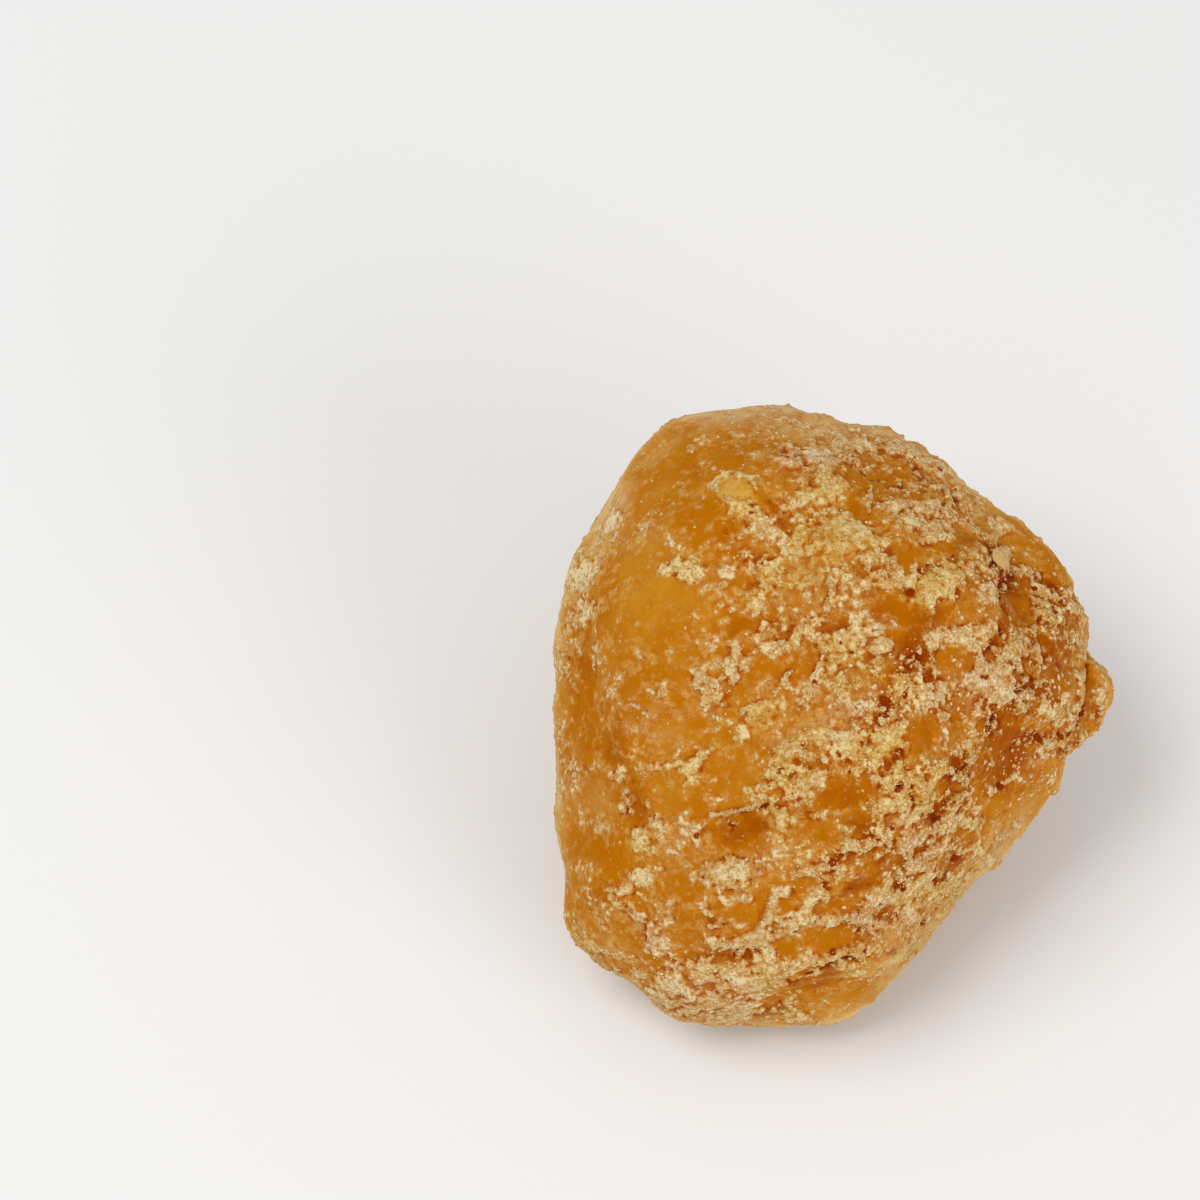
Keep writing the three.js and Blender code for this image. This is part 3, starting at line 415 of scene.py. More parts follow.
# Cracks and seams: strength, half width, then the points (a, b) they run through. One over 0.9 is unbroken.
CRACKS = [
    (0.55, 0.28, [(15.9, 17.0), (16.9, 17.1), (17.8, 16.3), (18.2, 15.0), (18.9, 14.5)]),
    (0.80, 0.55, [(17.4, 14.2), (17.1, 12.8), (17.4, 11.4), (17.8, 10.0)]),
    (0.50, 0.30, [(17.8, 10.0), (17.1, 8.6), (16.2, 7.6), (15.5, 6.6)]),
    (0.45, 0.26, [(8.3, 24.6), (9.5, 23.3), (10.6, 23.2), (11.4, 22.6), (12.3, 21.5), (12.9, 21.0)]),
    (0.40, 0.22, [(10.9, 21.0), (11.1, 19.6), (10.8, 18.3)]),
    (0.95, 0.30, [(25.7, 5.0), (25.5, 3.6), (25.4, 2.2), (25.2, 0.8), (24.7, -0.6), (24.0, -1.8)]),
    (0.60, 0.34, [(20.3, 3.9), (19.3, 3.0), (18.6, 2.0), (17.6, 0.8), (16.4, 0.0), (15.9, -1.4), (15.5, -3.0)]),
    (0.45, 0.30, [(15.2, -3.4), (13.6, -4.8), (12.8, -5.6), (11.9, -6.6)]),
    (0.45, 0.28, [(10.8, -9.0), (10.4, -10.6), (10.5, -12.2)]),
    (0.40, 0.22, [(-10.6, -23.7), (-8.6, -23.2), (-6.6, -23.6), (-5.0, -23.1)]),
    (0.60, 0.40, [(-3.8, -27.0), (-2.8, -26.1), (-1.2, -25.2), (0.6, -24.6), (1.7, -24.1), (2.8, -23.8)]),
    (0.40, 0.18, [(-6.1, -7.4), (-5.7, -6.4), (-4.8, -5.8)]),
    (0.40, 0.20, [(-7.8, -9.4), (-6.9, -9.1), (-6.0, -8.6)]),
    (0.45, 1.10, [(-24.8, 10.4), (-24.3, 5.0), (-24.0, 0.4), (-22.6, -2.8), (-20.6, -5.4)]),
    (0.45, 0.70, [(-20.0, -6.0), (-19.5, -8.4), (-18.6, -10.6)]),
    (0.35, 0.50, [(-6.4, 21.6), (-5.2, 20.0), (-4.3, 18.6)]),
    (0.30, 0.60, [(-10.4, 20.0), (-9.6, 18.4), (-8.5, 17.2)]),
    (0.50, 0.22, [(2.6, 25.2), (3.6, 24.0), (5.0, 23.2), (6.6, 22.9), (8.6, 22.2)]),
    (0.45, 0.22, [(21.0, 8.0), (21.2, 6.6), (21.1, 4.6)]),
    (0.50, 0.24, [(20.2, 14.6), (21.2, 13.9), (22.4, 13.1), (23.6, 12.4)]),
    (0.45, 0.20, [(4.8, 21.6), (6.2, 20.4), (7.2, 19.4), (7.6, 18.4)]),
    (0.35, 0.30, [(-12.4, 1.6), (-11.4, 2.2), (-10.8, 1.6)]),
    (0.35, 0.18, [(2.2, -21.7), (3.2, -21.3), (4.0, -21.8)]),
    (0.30, 0.16, [(4.6, -11.6), (4.0, -12.8)]),
    (0.30, 0.20, [(10.9, -16.0), (10.5, -17.2), (11.2, -18.2)]),
    (0.40, 0.20, [(6.3, -19.9), (7.2, -19.0), (8.2, -18.0)]),
    (0.30, 0.30, [(-2.0, 26.8), (-1.0, 26.2)]),
    (0.25, 0.18, [(1.0, 26.6), (1.8, 25.8), (2.0, 25.2)]),
    (0.25, 0.22, [(21.2, -2.6), (22.4, -2.1), (23.2, -3.4)]),
    (0.35, 0.20, [(7.3, 2.2), (7.8, 3.2), (7.6, 4.2)]),
    (0.45, 0.20, [(16.3, 14.4), (15.9, 15.4), (16.0, 16.4), (16.7, 17.1), (17.5, 17.0)]),
    (0.95, 0.34, [(16.9, 14.5), (17.0, 13.4), (17.1, 12.2)]),
]
# Pits: (a, b), half width, depth.
PITS = [
    (17.4, 13.7, 0.38, 0.5), (18.1, 14.0, 0.34, 0.45), (16.1, 15.0, 0.26, 0.5),
    (5.6, 1.5, 0.50, 0.7), (5.7, -0.3, 0.32, 0.6), (4.9, 0.1, 0.25, 0.5), (1.1, 7.2, 0.22, 0.45),
    (2.3, 6.4, 0.25, 0.45), (8.7, 5.8, 0.45, 0.6), (8.0, 5.0, 0.40, 0.6), (9.2, 5.2, 0.30, 0.5),
    (18.8, 2.6, 0.30, 0.6), (19.5, 3.0, 0.28, 0.5), (20.3, 3.8, 0.28, 0.5), (18.3, 1.5, 0.30, 0.5),
    (16.3, -0.3, 0.40, 0.6), (15.8, -1.6, 0.40, 0.5), (0.8, -3.7, 0.32, 0.5), (6.9, -3.4, 0.35, 0.5),
    (6.1, -11.2, 0.28, 0.7), (10.6, -10.4, 0.45, 0.6), (21.0, -2.4, 0.35, 0.5), (22.9, -2.1, 0.30, 0.5),
    (13.2, -5.3, 0.28, 0.5), (2.0, -5.6, 0.22, 0.5), (17.1, -7.0, 0.28, 0.7), (3.2, -2.8, 0.25, 0.4),
    (0.3, -14.6, 0.32, 0.5), (1.2, -14.0, 0.25, 0.4), (4.8, -12.4, 0.28, 0.5), (9.3, -20.8, 0.28, 0.5),
    (7.0, -17.0, 0.38, 0.5), (12.6, -14.2, 0.45, 0.5), (10.6, -16.6, 0.35, 0.5), (5.3, -12.9, 0.2, 0.4),
    (-9.8, -11.0, 0.28, 0.5), (-4.0, -26.7, 0.28, 0.5), (1.6, -24.2, 0.30, 0.5), (9.0, 14.5, 0.35, 0.4),
    (10.1, 14.9, 0.30, 0.4), (8.0, 12.4, 0.35, 0.4), (-9.6, -24.0, 0.18, 0.4), (20.9, 9.7, 0.28, 0.5),
    (4.4, 8.6, 0.22, 0.4), (2.8, 1.0, 0.28, 0.4), (-2.6, -2.9, 0.28, 0.4), (-0.6, -17.0, 0.28, 0.5),
    (7.5, 2.0, 0.25, 0.5), (8.6, 24.7, 0.30, 0.4), (6.9, -7.2, 0.45, 0.4), (8.2, -8.2, 0.3, 0.5),
    (23.4, -3.6, 0.25, 0.4), (16.1, 16.4, 0.35, 0.5), (21.2, 14.2, 0.28, 0.5), (17.2, 8.6, 0.3, 0.6),
    (3.0, -21.3, 0.22, 0.4), (4.2, -21.0, 0.20, 0.4), (0.3, -23.5, 0.22, 0.4),
]
# Flakes: thin plates stuck on the skin: (a, b), half length, half width, turn, thickness.
FLAKES = [
    (-9.5, 22.6, 1.9, 1.35, 8, 0.24), (17.0, 15.7, 0.82, 1.15, -15, 0.50), (0.8, 17.7, 2.7, 1.7, 5, 0.30),
    (-5.9, 14.0, 1.5, 1.0, 0, 0.26), (-6.9, 0.3, 1.8, 1.2, 35, 0.28), (-13.9, -5.1, 1.1, 0.9, 40, 0.12),
    (5.1, 7.1, 1.3, 0.85, 0, 0.30), (7.0, 3.4, 0.9, 1.1, 20, 0.30), (-5.1, -10.4, 1.2, 1.4, 0, 0.30),
    (-14.7, 14.6, 1.5, 1.0, 0, 0.12), (11.0, 13.2, 2.4, 1.3, 12, 0.30), (11.2, 0.0, 0.6, 0.6, 0, 0.40),
    (13.0, 21.6, 1.4, 0.7, -50, 0.30), (10.4, 21.8, 1.3, 1.0, 20, 0.24),
    (9.0, -7.7, 0.9, 1.5, 5, 0.30), (6.7, -5.9, 1.0, 1.1, 0, 0.28), (1.2, 6.6, 1.7, 1.6, 0, 0.26),
    (10.6, -13.2, 1.1, 0.6, 20, 0.26), (-8.4, -18.3, 0.55, 0.45, 0, 0.14), (4.8, -3.4, 1.2, 1.2, 0, 0.24),
    (-3.6, 25.4, 1.6, 0.7, 10, 0.24), (17.0, 18.5, 1.3, 0.6, 20, 0.26), (22.0, 10.4, 1.5, 1.1, -40, 0.28),
]

# Wide ground: where crust is thick on the whole (above zero) or thin, under the marks.
GROUND = [
    (2.0, 4.0, 7.5, 9.0, 20, 0.10), (8.0, 14.0, 8.0, 7.0, 0, 0.07), (5.0, -16.0, 7.0, 7.0, 0, 0.09),
    (-9.0, -27.0, 9.0, 3.6, -5, 0.10), (15.0, 3.0, 5.0, 6.0, 0, 0.08), (21.0, 6.0, 4.5, 9.0, 0, 0.05),
    (-4.0, 16.0, 6.0, 8.0, 0, 0.05), (2.0, 26.0, 9.0, 3.0, -15, 0.05), (-5.0, -8.0, 5.0, 5.0, 0, 0.05),
    (-15.0, -19.0, 6.0, 6.0, 0, 0.07), (8.0, -8.0, 6.0, 6.0, 0, 0.06), (-10.0, 4.0, 5.0, 6.0, 0, 0.03),
    (12.0, -14.0, 3.0, 8.0, -42, 0.07), (3.0, -24.5, 5.0, 2.0, 20, 0.03), (-11.0, -29.6, 6.0, 1.8, -5, 0.08), (-25.0, 12.0, 3.0, 8.0, -10, 0.04),
]
# Thin pale ridges and fibres: height, half width, then the points.
RIDGES = [
    (0.16, 0.32, [(-0.5, 6.6), (-1.1, 4.6), (-1.9, 2.2)]),
    (0.12, 0.24, [(-4.1, 4.6), (-4.6, 3.2), (-5.4, 2.4)]),
    (0.14, 0.16, [(20.2, 8.9), (20.6, 7.2), (20.9, 4.4)]),
    (0.14, 0.26, [(-7.4, -21.4), (-6.2, -19.6), (-5.6, -17.6), (-4.4, -17.4)]),
    (0.12, 0.22, [(-6.2, -19.6), (-4.6, -20.6), (-3.4, -21.0)]),
    (0.14, 0.30, [(-22.2, -17.4), (-20.8, -17.4), (-19.6, -17.3)]),
    (0.14, 0.30, [(-22.0, -17.8), (-20.8, -19.0), (-19.4, -20.1)]),
    (0.10, 0.18, [(-12.0, -9.9), (-10.0, -9.5), (-8.0, -9.2), (-6.6, -8.6)]),
    (0.18, 0.38, [(-12.4, -22.4), (-10.0, -22.9), (-7.0, -22.4), (-4.0, -21.2)]),
    (0.16, 0.42, [(-3.4, -15.6), (-1.6, -15.2), (0.0, -14.8)]),
    (0.18, 0.45, [(2.6, -20.0), (4.6, -18.6), (6.4, -17.4), (8.2, -16.4)]),
    (0.14, 0.34, [(-2.0, -20.0), (1.0, -20.5), (4.0, -20.4)]),
    (0.22, 0.40, [(-4.6, -25.6), (-2.6, -24.9), (-0.6, -24.2), (1.2, -23.4), (2.4, -22.8)]),
    (0.12, 0.26, [(-13.4, -5.2), (-12.6, -4.0), (-11.8, -3.2)]),
    (0.16, 0.24, [(9.6, 23.0), (11.2, 22.6), (11.9, 21.4), (11.4, 20.2)]),
    (0.16, 0.34, [(-11.6, 22.4), (-11.0, 23.5), (-9.6, 24.0), (-8.0, 23.6), (-7.4, 22.8)]),
    (0.08, 0.12, [(4.0, 22.8), (3.9, 21.6), (4.0, 20.2)]),
    (0.12, 0.22, [(-0.4, 10.4), (0.2, 12.4), (0.0, 14.0)]),
    (0.12, 0.30, [(-16.8, 14.4), (-15.6, 14.9), (-14.6, 14.2)]),
    (0.14, 0.30, [(5.4, 20.8), (7.6, 21.2), (9.8, 20.6)]),
    (0.14, 0.30, [(11.0, 19.6), (10.6, 18.0), (9.0, 17.4)]),
    (0.12, 0.30, [(13.0, 8.4), (11.0, 8.0), (10.0, 6.6), (10.4, 5.2)]),
    (0.12, 0.30, [(14.6, 6.8), (15.2, 5.4), (14.4, 3.6), (13.2, 3.0)]),
    (0.12, 0.24, [(-9.6, 6.6), (-9.8, 5.0), (-9.4, 3.4)]),
    (0.12, 0.26, [(-18.0, -20.8), (-17.8, -22.6), (-17.2, -23.8)]),
    (0.12, 0.26, [(-16.2, -26.0), (-15.0, -27.0), (-13.6, -28.2)]),
    (0.12, 0.22, [(13.4, -2.6), (14.0, -4.2), (13.6, -5.6)]),
    (0.12, 0.24, [(9.0, -5.8), (9.2, -7.6), (8.6, -9.4)]),
    (0.12, 0.26, [(1.0, -12.6), (3.0, -13.4), (5.4, -12.0)]),
    (0.12, 0.20, [(25.2, 4.6), (25.0, 3.0), (25.0, 1.4), (24.5, 0.0), (24.0, -1.2)]),
]
# Ledges: rise, reach above, drop, reach below, then the points. The left of the way along stands higher.
LEDGES = [
    (0.30, 1.4, 0.55, 1.5, [(15.4, 6.6), (16.2, 7.6), (17.2, 8.8), (17.8, 10.0), (17.5, 11.4), (17.1, 12.6), (17.4, 14.0), (18.4, 15.1)]),
    (0.10, 1.0, 0.20, 0.9, [(24.2, -1.4), (24.9, -0.2), (25.2, 1.4), (25.3, 3.0), (25.4, 4.6)]),
    (0.28, 1.4, 0.50, 1.8, [(12.0, -6.8), (12.8, -5.6), (13.8, -4.6), (15.4, -3.2), (15.9, -1.4), (16.6, 0.0), (17.8, 0.8), (18.8, 2.0), (19.6, 3.0), (20.4, 3.9)]),
    (0.18, 1.2, 0.30, 1.4, [(10.4, -12.0), (10.5, -10.6), (11.1, -8.8), (12.0, -6.8)]),
    (0.30, 0.9, 0.35, 1.6, [(-3.8, -27.0), (-2.8, -26.0), (-1.0, -25.1), (0.6, -24.5), (1.7, -24.0), (2.9, -23.7)]),
    (0.22, 1.4, 0.50, 2.0, [(-11.8, -10.1), (-9.6, -9.6), (-7.6, -9.2), (-5.8, -8.4)]),
    (0.18, 0.9, 0.26, 1.2, [(-10.6, -23.6), (-8.6, -23.2), (-6.4, -23.6), (-5.0, -23.0)]),
    (0.12, 1.0, 0.30, 1.2, [(1.4, -16.9), (3.0, -17.0), (4.8, -16.0), (6.2, -15.2)]),
    (0.22, 1.2, 0.30, 1.6, [(8.6, 8.4), (7.6, 7.0), (7.0, 5.4)]),
    (0.20, 1.4, 0.24, 1.6, [(20.4, 15.4), (21.8, 13.8), (23.0, 12.8), (24.0, 11.2)]),
    (0.16, 1.0, 0.26, 1.2, [(-11.2, 17.0), (-10.4, 19.4), (-10.6, 21.2)]),
]
# Where the crust has gone to crumbs standing over small dark gaps.
BROKEN = [
    (8.5, 5.9, 1.4, 1.2, -20, 1.0), (7.4, 3.0, 0.45, 1.0, 10, 0.9), (9.9, 3.6, 1.7, 1.1, -30, 0.8),
    (5.5, 0.7, 1.5, 1.4, 0, 1.0), (3.2, -0.1, 1.1, 0.5, 10, 0.7), (6.9, -3.6, 0.8, 1.2, 0, 0.9),
    (7.4, -7.1, 1.8, 1.1, 10, 1.0), (5.4, -8.9, 1.2, 0.7, 0, 0.7), (10.2, -9.4, 1.0, 1.2, 0, 1.0),
    (13.2, -5.2, 1.3, 1.8, 40, 1.0), (12.2, -8.6, 1.8, 1.1, 30, 0.9), (-5.6, -6.2, 1.3, 0.5, 35, 0.9),
    (-6.8, -8.8, 1.2, 0.5, 20, 0.9), (11.3, 8.1, 0.35, 0.6, -20, 0.8), (15.8, 7.0, 1.4, 0.7, 20, 0.9),
    (19.2, 2.8, 1.9, 1.0, 45, 1.0), (16.3, -1.0, 0.9, 1.8, -10, 0.9), (19.2, 0.6, 0.9, 1.2, 0, 0.8),
    (21.0, -2.3, 2.4, 0.8, 5, 1.0), (23.4, -3.7, 0.9, 0.7, 30, 0.9), (24.8, 0.2, 0.6, 1.2, -20, 0.7),
    (12.4, -5.8, 0.9, 0.9, 0, 0.9), (21.4, 6.0, 0.7, 1.0, -30, 0.9), (22.6, 5.4, 0.9, 0.6, 0, 0.7),
    (18.5, 4.6, 0.8, 1.4, 0, 0.6), (10.4, -12.4, 1.4, 2.4, -20, 0.45), (9.4, -17.4, 2.2, 3.4, -35, 0.20),
    (5.8, -13.6, 2.4, 1.2, 10, 0.6), (9.3, -20.8, 0.6, 0.6, 0, 0.8), (10.6, 23.3, 2.8, 0.7, -38, 0.5),
    (12.6, 20.8, 1.6, 0.7, -50, 0.4), (16.2, 16.9, 0.8, 0.4, 0, 0.7), (17.7, 12.8, 0.6, 1.8, 0, 0.8),
    (17.0, 8.8, 0.6, 0.9, 10, 0.8), (8.9, 14.3, 1.5, 0.6, 20, 0.7), (8.1, 12.1, 0.9, 0.6, 0, 0.7),
    (22.4, 11.4, 2.6, 2.2, -40, 0.7), (24.6, 9.0, 0.8, 2.2, 5, 0.6), (-11.5, 2.3, 1.6, 1.0, -20, 0.6),
    (-9.8, 5.6, 0.6, 1.8, 0, 0.6), (-8.8, -23.8, 3.2, 0.5, 5, 0.7), (-10.5, -27.6, 6.0, 1.5, -6, 0.25),
    (-9.8, -11.0, 0.6, 0.6, 0, 0.9), (-20.4, -8.6, 0.6, 1.2, 5, 0.5), (0.7, -14.4, 1.5, 0.7, 25, 0.8),
    (4.7, -12.4, 0.9, 0.7, 0, 0.8), (3.2, -11.4, 2.6, 1.1, -20, 0.6), (14.8, -10.4, 1.2, 0.8, 40, 0.6),
    (16.9, -7.2, 1.2, 0.6, 30, 0.7), (-0.6, -17.2, 0.7, 0.7, 0, 0.7), (6.8, -17.2, 0.8, 0.8, 0, 0.8),
    (8.6, -8.2, 0.7, 0.8, 0, 0.8), (1.0, 7.0, 0.6, 0.6, 0, 0.6), (-2.4, -2.9, 0.6, 0.5, 0, 0.5),
    (21.2, 13.9, 1.8, 0.5, -32, 0.8), (2.4, 25.2, 2.4, 0.6, -10, 0.5), (6.0, 23.2, 2.0, 0.6, -20, 0.5),
    (11.3, -16.6, 1.0, 1.6, -30, 0.45), (12.8, -14.2, 0.8, 0.7, 0, 0.9), (3.0, -20.8, 2.4, 0.5, 5, 0.5),
    (1.4, -24.2, 2.4, 0.5, 18, 0.6), (5.4, -20.0, 1.2, 1.0, 20, 0.6), (-3.8, -26.8, 0.8, 0.4, 20, 0.7),
    (25.4, 2.6, 0.35, 2.2, 0, 0.8),
]
# Wide areas where the crust's edges are rough and gapped.
ROUGH = [
    (15.5, 3.0, 6.0, 9.0, 0, 0.42), (21.5, 6.0, 5.0, 9.0, -10, 0.50), (18.0, -6.0, 5.0, 4.0, 30, 0.42),
    (9.5, -14.0, 4.0, 8.0, -38, 0.38), (12.0, 20.5, 6.0, 3.0, -45, 0.28), (6.0, -4.0, 4.0, 5.0, 0, 0.35),
    (7.0, 4.0, 4.0, 4.0, 0, 0.35), (2.0, -20.0, 6.0, 3.0, 20, 0.35), (-8.0, -26.0, 8.0, 3.0, 0, 0.22),
    (12.0, 12.0, 6.0, 4.0, 0, 0.35), (4.0, 25.0, 7.0, 2.4, -15, 0.35), (-4.0, -6.0, 4.0, 3.0, 0, 0.30),
    (-11.0, 2.0, 3.0, 4.0, 0, 0.25),
]
# Where loose crumbs lie thick over clean amber.
LOOSE = [
    (20.5, -3.0, 4.5, 6.5, 25, 1.0), (21.0, 9.0, 3.6, 7.0, -20, 0.9), (16.5, -8.5, 4.0, 2.6, 40, 0.9),
    (11.0, -13.5, 3.0, 6.0, -40, 0.8), (18.0, 14.0, 2.4, 3.0, 0, 0.5), (14.0, 22.0, 4.0, 1.2, -48, 0.6),
    (25.8, 1.6, 1.4, 4.0, 0, 0.9), (4.6, -24.0, 4.0, 2.0, 20, 0.4), (-3.0, -28.6, 4.0, 1.4, -6, 0.6),
    (-20.0, -24.6, 4.0, 1.6, -35, 0.6), (-21.8, 18.0, 1.2, 5.0, -25, 0.5), (-4.6, 28.6, 5.0, 1.6, -6, 0.4),
]
# Single crumbs: (a, b), half width, tone from 0 (straw) to 1 (near white).
SINGLES = [
    (11.4, -1.5, 0.44, 1.0), (11.2, 0.1, 0.42, 0.5), (11.0, -0.4, 0.30, 0.5), (-19.6, 1.1, 0.36, 0.66),
    (-18.6, 0.3, 0.30, 0.58), (-25.4, -15.3, 0.34, 0.58), (-13.2, 4.2, 0.46, 0.58), (-12.8, 3.8, 0.30, 0.5),
    (16.5, -7.4, 0.36, 0.66), (-12.0, 22.9, 0.30, 0.5), (-12.6, 21.8, 0.28, 0.5), (-11.6, 24.7, 0.34, 0.58),
    (-15.9, 6.4, 0.30, 0.5), (-23.7, 6.8, 0.32, 0.58), (-18.9, 5.9, 0.28, 0.5), (16.8, -0.8, 0.34, 0.58),
    (19.2, 0.6, 0.36, 0.58), (13.9, -4.6, 0.30, 0.58), (18.3, -3.5, 0.28, 0.58), (16.2, -3.4, 0.36, 0.58),
    (21.6, -3.1, 0.34, 0.58), (23.6, 8.2, 0.36, 0.5), (17.6, 8.0, 0.32, 0.5), (14.2, -6.0, 0.28, 0.58),
    (12.0, -5.5, 0.34, 0.58), (20.4, -5.0, 0.28, 0.5), (13.0, -8.2, 0.30, 0.58), (-9.4, -2.2, 0.30, 0.5),
    (-14.4, -15.0, 0.26, 0.5), (-23.4, -18.4, 0.26, 0.58), (-17.9, -10.4, 0.34, 0.5), (9.4, 0.4, 0.26, 0.5),
    (4.0, 2.2, 0.30, 0.58), (6.4, -1.6, 0.34, 0.66), (9.0, 6.6, 0.36, 0.66), (10.2, 3.0, 0.34, 0.66),
    (7.2, 5.8, 0.32, 0.66), (8.8, 4.2, 0.32, 0.66), (22.4, 14.2, 0.30, 0.58), (19.6, 16.2, 0.26, 0.58),
    (23.1, 7.8, 0.30, 0.7), (23.8, 7.5, 0.24, 0.6), (21.5, 4.9, 0.34, 0.7), (22.1, 5.7, 0.28, 0.6), (22.3, 3.5, 0.32, 0.7),
    (22.7, 4.7, 0.22, 0.6), (23.3, 4.1, 0.26, 0.6), (23.9, 3.3, 0.26, 0.6), (23.0, 2.8, 0.24, 0.7), (24.3, 5.1, 0.26, 0.6),
    (17.2, -1.6, 0.26, 0.6), (18.9, -5.2, 0.28, 0.7), (17.4, -4.3, 0.24, 0.6), (15.6, -4.6, 0.30, 0.7), (19.4, -6.6, 0.22, 0.6),
    (-7.2, 24.0, 0.28, 0.5), (-21.4, 12.6, 0.26, 0.5), (-16.4, 17.2, 0.26, 0.5), (-22.6, -21.0, 0.26, 0.58),
]
# Where the crust is thin, smooth and filmy, and the amber near it is hazed over.
FILM = [
    (-1.0, -1.4, 4.8, 2.6, 25, 1.0), (-6.7, 0.4, 2.0, 1.4, 35, 1.0), (2.4, 3.8, 2.6, 2.0, 0, 0.8),
    (5.2, 7.2, 1.7, 1.2, 0, 0.9), (1.4, 6.6, 1.9, 1.6, 0, 0.8), (7.0, 3.2, 1.0, 1.4, 20, 0.9),
    (5.4, -3.4, 1.5, 1.7, 0, 0.8), (-0.4, 17.4, 3.6, 2.5, 0, 1.0), (-0.4, 22.8, 2.6, 1.5, 15, 0.9),
    (-9.6, 22.4, 2.2, 1.6, 0, 1.0), (10.8, 13.2, 2.7, 1.5, 12, 0.9), (8.4, -18.6, 2.4, 3.8, -35, 0.8),
    (-5.2, -10.4, 1.5, 1.7, 0, 0.9), (-3.8, -6.0, 2.2, 1.3, 30, 0.6), (-8.0, -27.0, 6.0, 1.6, -4, 0.6),
    (16.2, 3.0, 2.6, 1.6, 20, 0.7), (1.0, -20.4, 3.2, 0.8, 3, 0.6), (-1.6, -18.6, 1.6, 2.0, 30, 0.8),
    (8.8, -7.4, 1.2, 1.8, 0, 0.6), (-6.0, 14.0, 1.8, 1.3, 0, 0.8), (4.6, 12.6, 2.6, 1.6, 0, 0.6),
    (-3.2, 8.6, 2.2, 1.2, 10, 0.5), (12.4, 8.0, 2.4, 0.8, 5, 0.6), (-3.0, 25.6, 2.4, 1.2, 10, 0.7),
    (-7.0, -22.0, 3.4, 1.0, 10, 0.5), (22.2, 0.6, 1.2, 1.4, 0, 0.6), (-4.0, 28.4, 6.0, 1.6, -4, 0.7),
    (21.4, -3.6, 1.6, 1.4, 0, 0.5), (12.0, -3.0, 2.0, 1.6, 20, 0.6), (-14.6, -20.6, 2.6, 2.0, 0, 0.4),
    (13.6, 22.2, 4.8, 1.3, -42, 0.9), (17.0, 15.7, 0.9, 1.2, -15, 1.0), (-2.6, 14.4, 2.6, 1.8, 10, 1.0),
    (12.8, -17.6, 1.8, 3.6, -42, 0.9), (9.2, -22.2, 1.6, 3.0, -34, 0.9), (6.2, -25.8, 1.4, 2.4, -44, 0.8),
    (17.6, -12.2, 1.2, 3.2, -38, 0.8),
    (-16.0, 3.0, 8.0, 17.0, 0, 0.5), (-14.0, -18.0, 7.0, 7.0, 0, 0.4), (-21.8, 19.6, 0.9, 2.2, -25, 0.8),
    (-25.2, 14.2, 1.8, 1.1, 38, 0.8), (-24.8, 10.4, 1.6, 1.0, 40, 0.8),
    (-12.0, -27.4, 5.0, 2.6, -8, 0.7), (-6.2, -19.6, 1.0, 2.6, -25, 0.9), (20.6, 6.6, 0.5, 2.4, 10, 0.6),
]
# Painted shade: a greyer colour, darker than the crust and frost, over crust and amber alike on the lower right
# slope, which faces away from the key light.
SLOPE_SHADE = [
    (12.8, -17.8, 1.3, 3.8, -42, 1.0), (16.8, -13.0, 0.9, 3.2, -38, 0.8), (8.8, -22.6, 1.4, 3.4, -36, 1.0),
    (5.6, -26.6, 1.1, 2.8, -44, 0.9), (19.6, -9.6, 0.7, 2.2, -32, 0.6), (-10.0, -30.6, 7.0, 0.8, -4, 0.5),
]
# The outline from the fixed place: (turn from a towards b in degrees, mm further out).
OUTLINE = [
    (-141, 0.0), (-133, -0.3), (-123, 0.1), (-121, 0.5), (-115, 0.8), (-111, 0.45), (-107, -0.3), (-103, -0.15),
    (-99, 0.1), (-87, 0.1), (-85, 0.3), (-81, 0.9), (-77, 0.45), (-69, 0.38), (-67, 0.0), (-65, -0.55), (-61, -0.2),
    (-53, 0.0), (-46, 0.25), (-42, 0.85), (-37, 0.65), (-31, 0.28), (-23, 0.23), (-19, 0.6), (-15, 0.0), (-11, -0.8),
    (-9, -1.4), (-7, -1.1), (-3, 0.4), (1, 0.8), (7, 0.7), (9, 0.4), (11, -0.5), (13, -0.8), (15, -0.1),
    (21, 0.33), (27, -0.05), (29, 0.45), (35, 0.45), (41, 0.12), (55, 0.25), (63, 0.35), (66, 0.85), (69, 0.4),
    (80, 0.3), (100, 0.4), (118, 0.5), (130, 0.0), (160, 0.0),
]
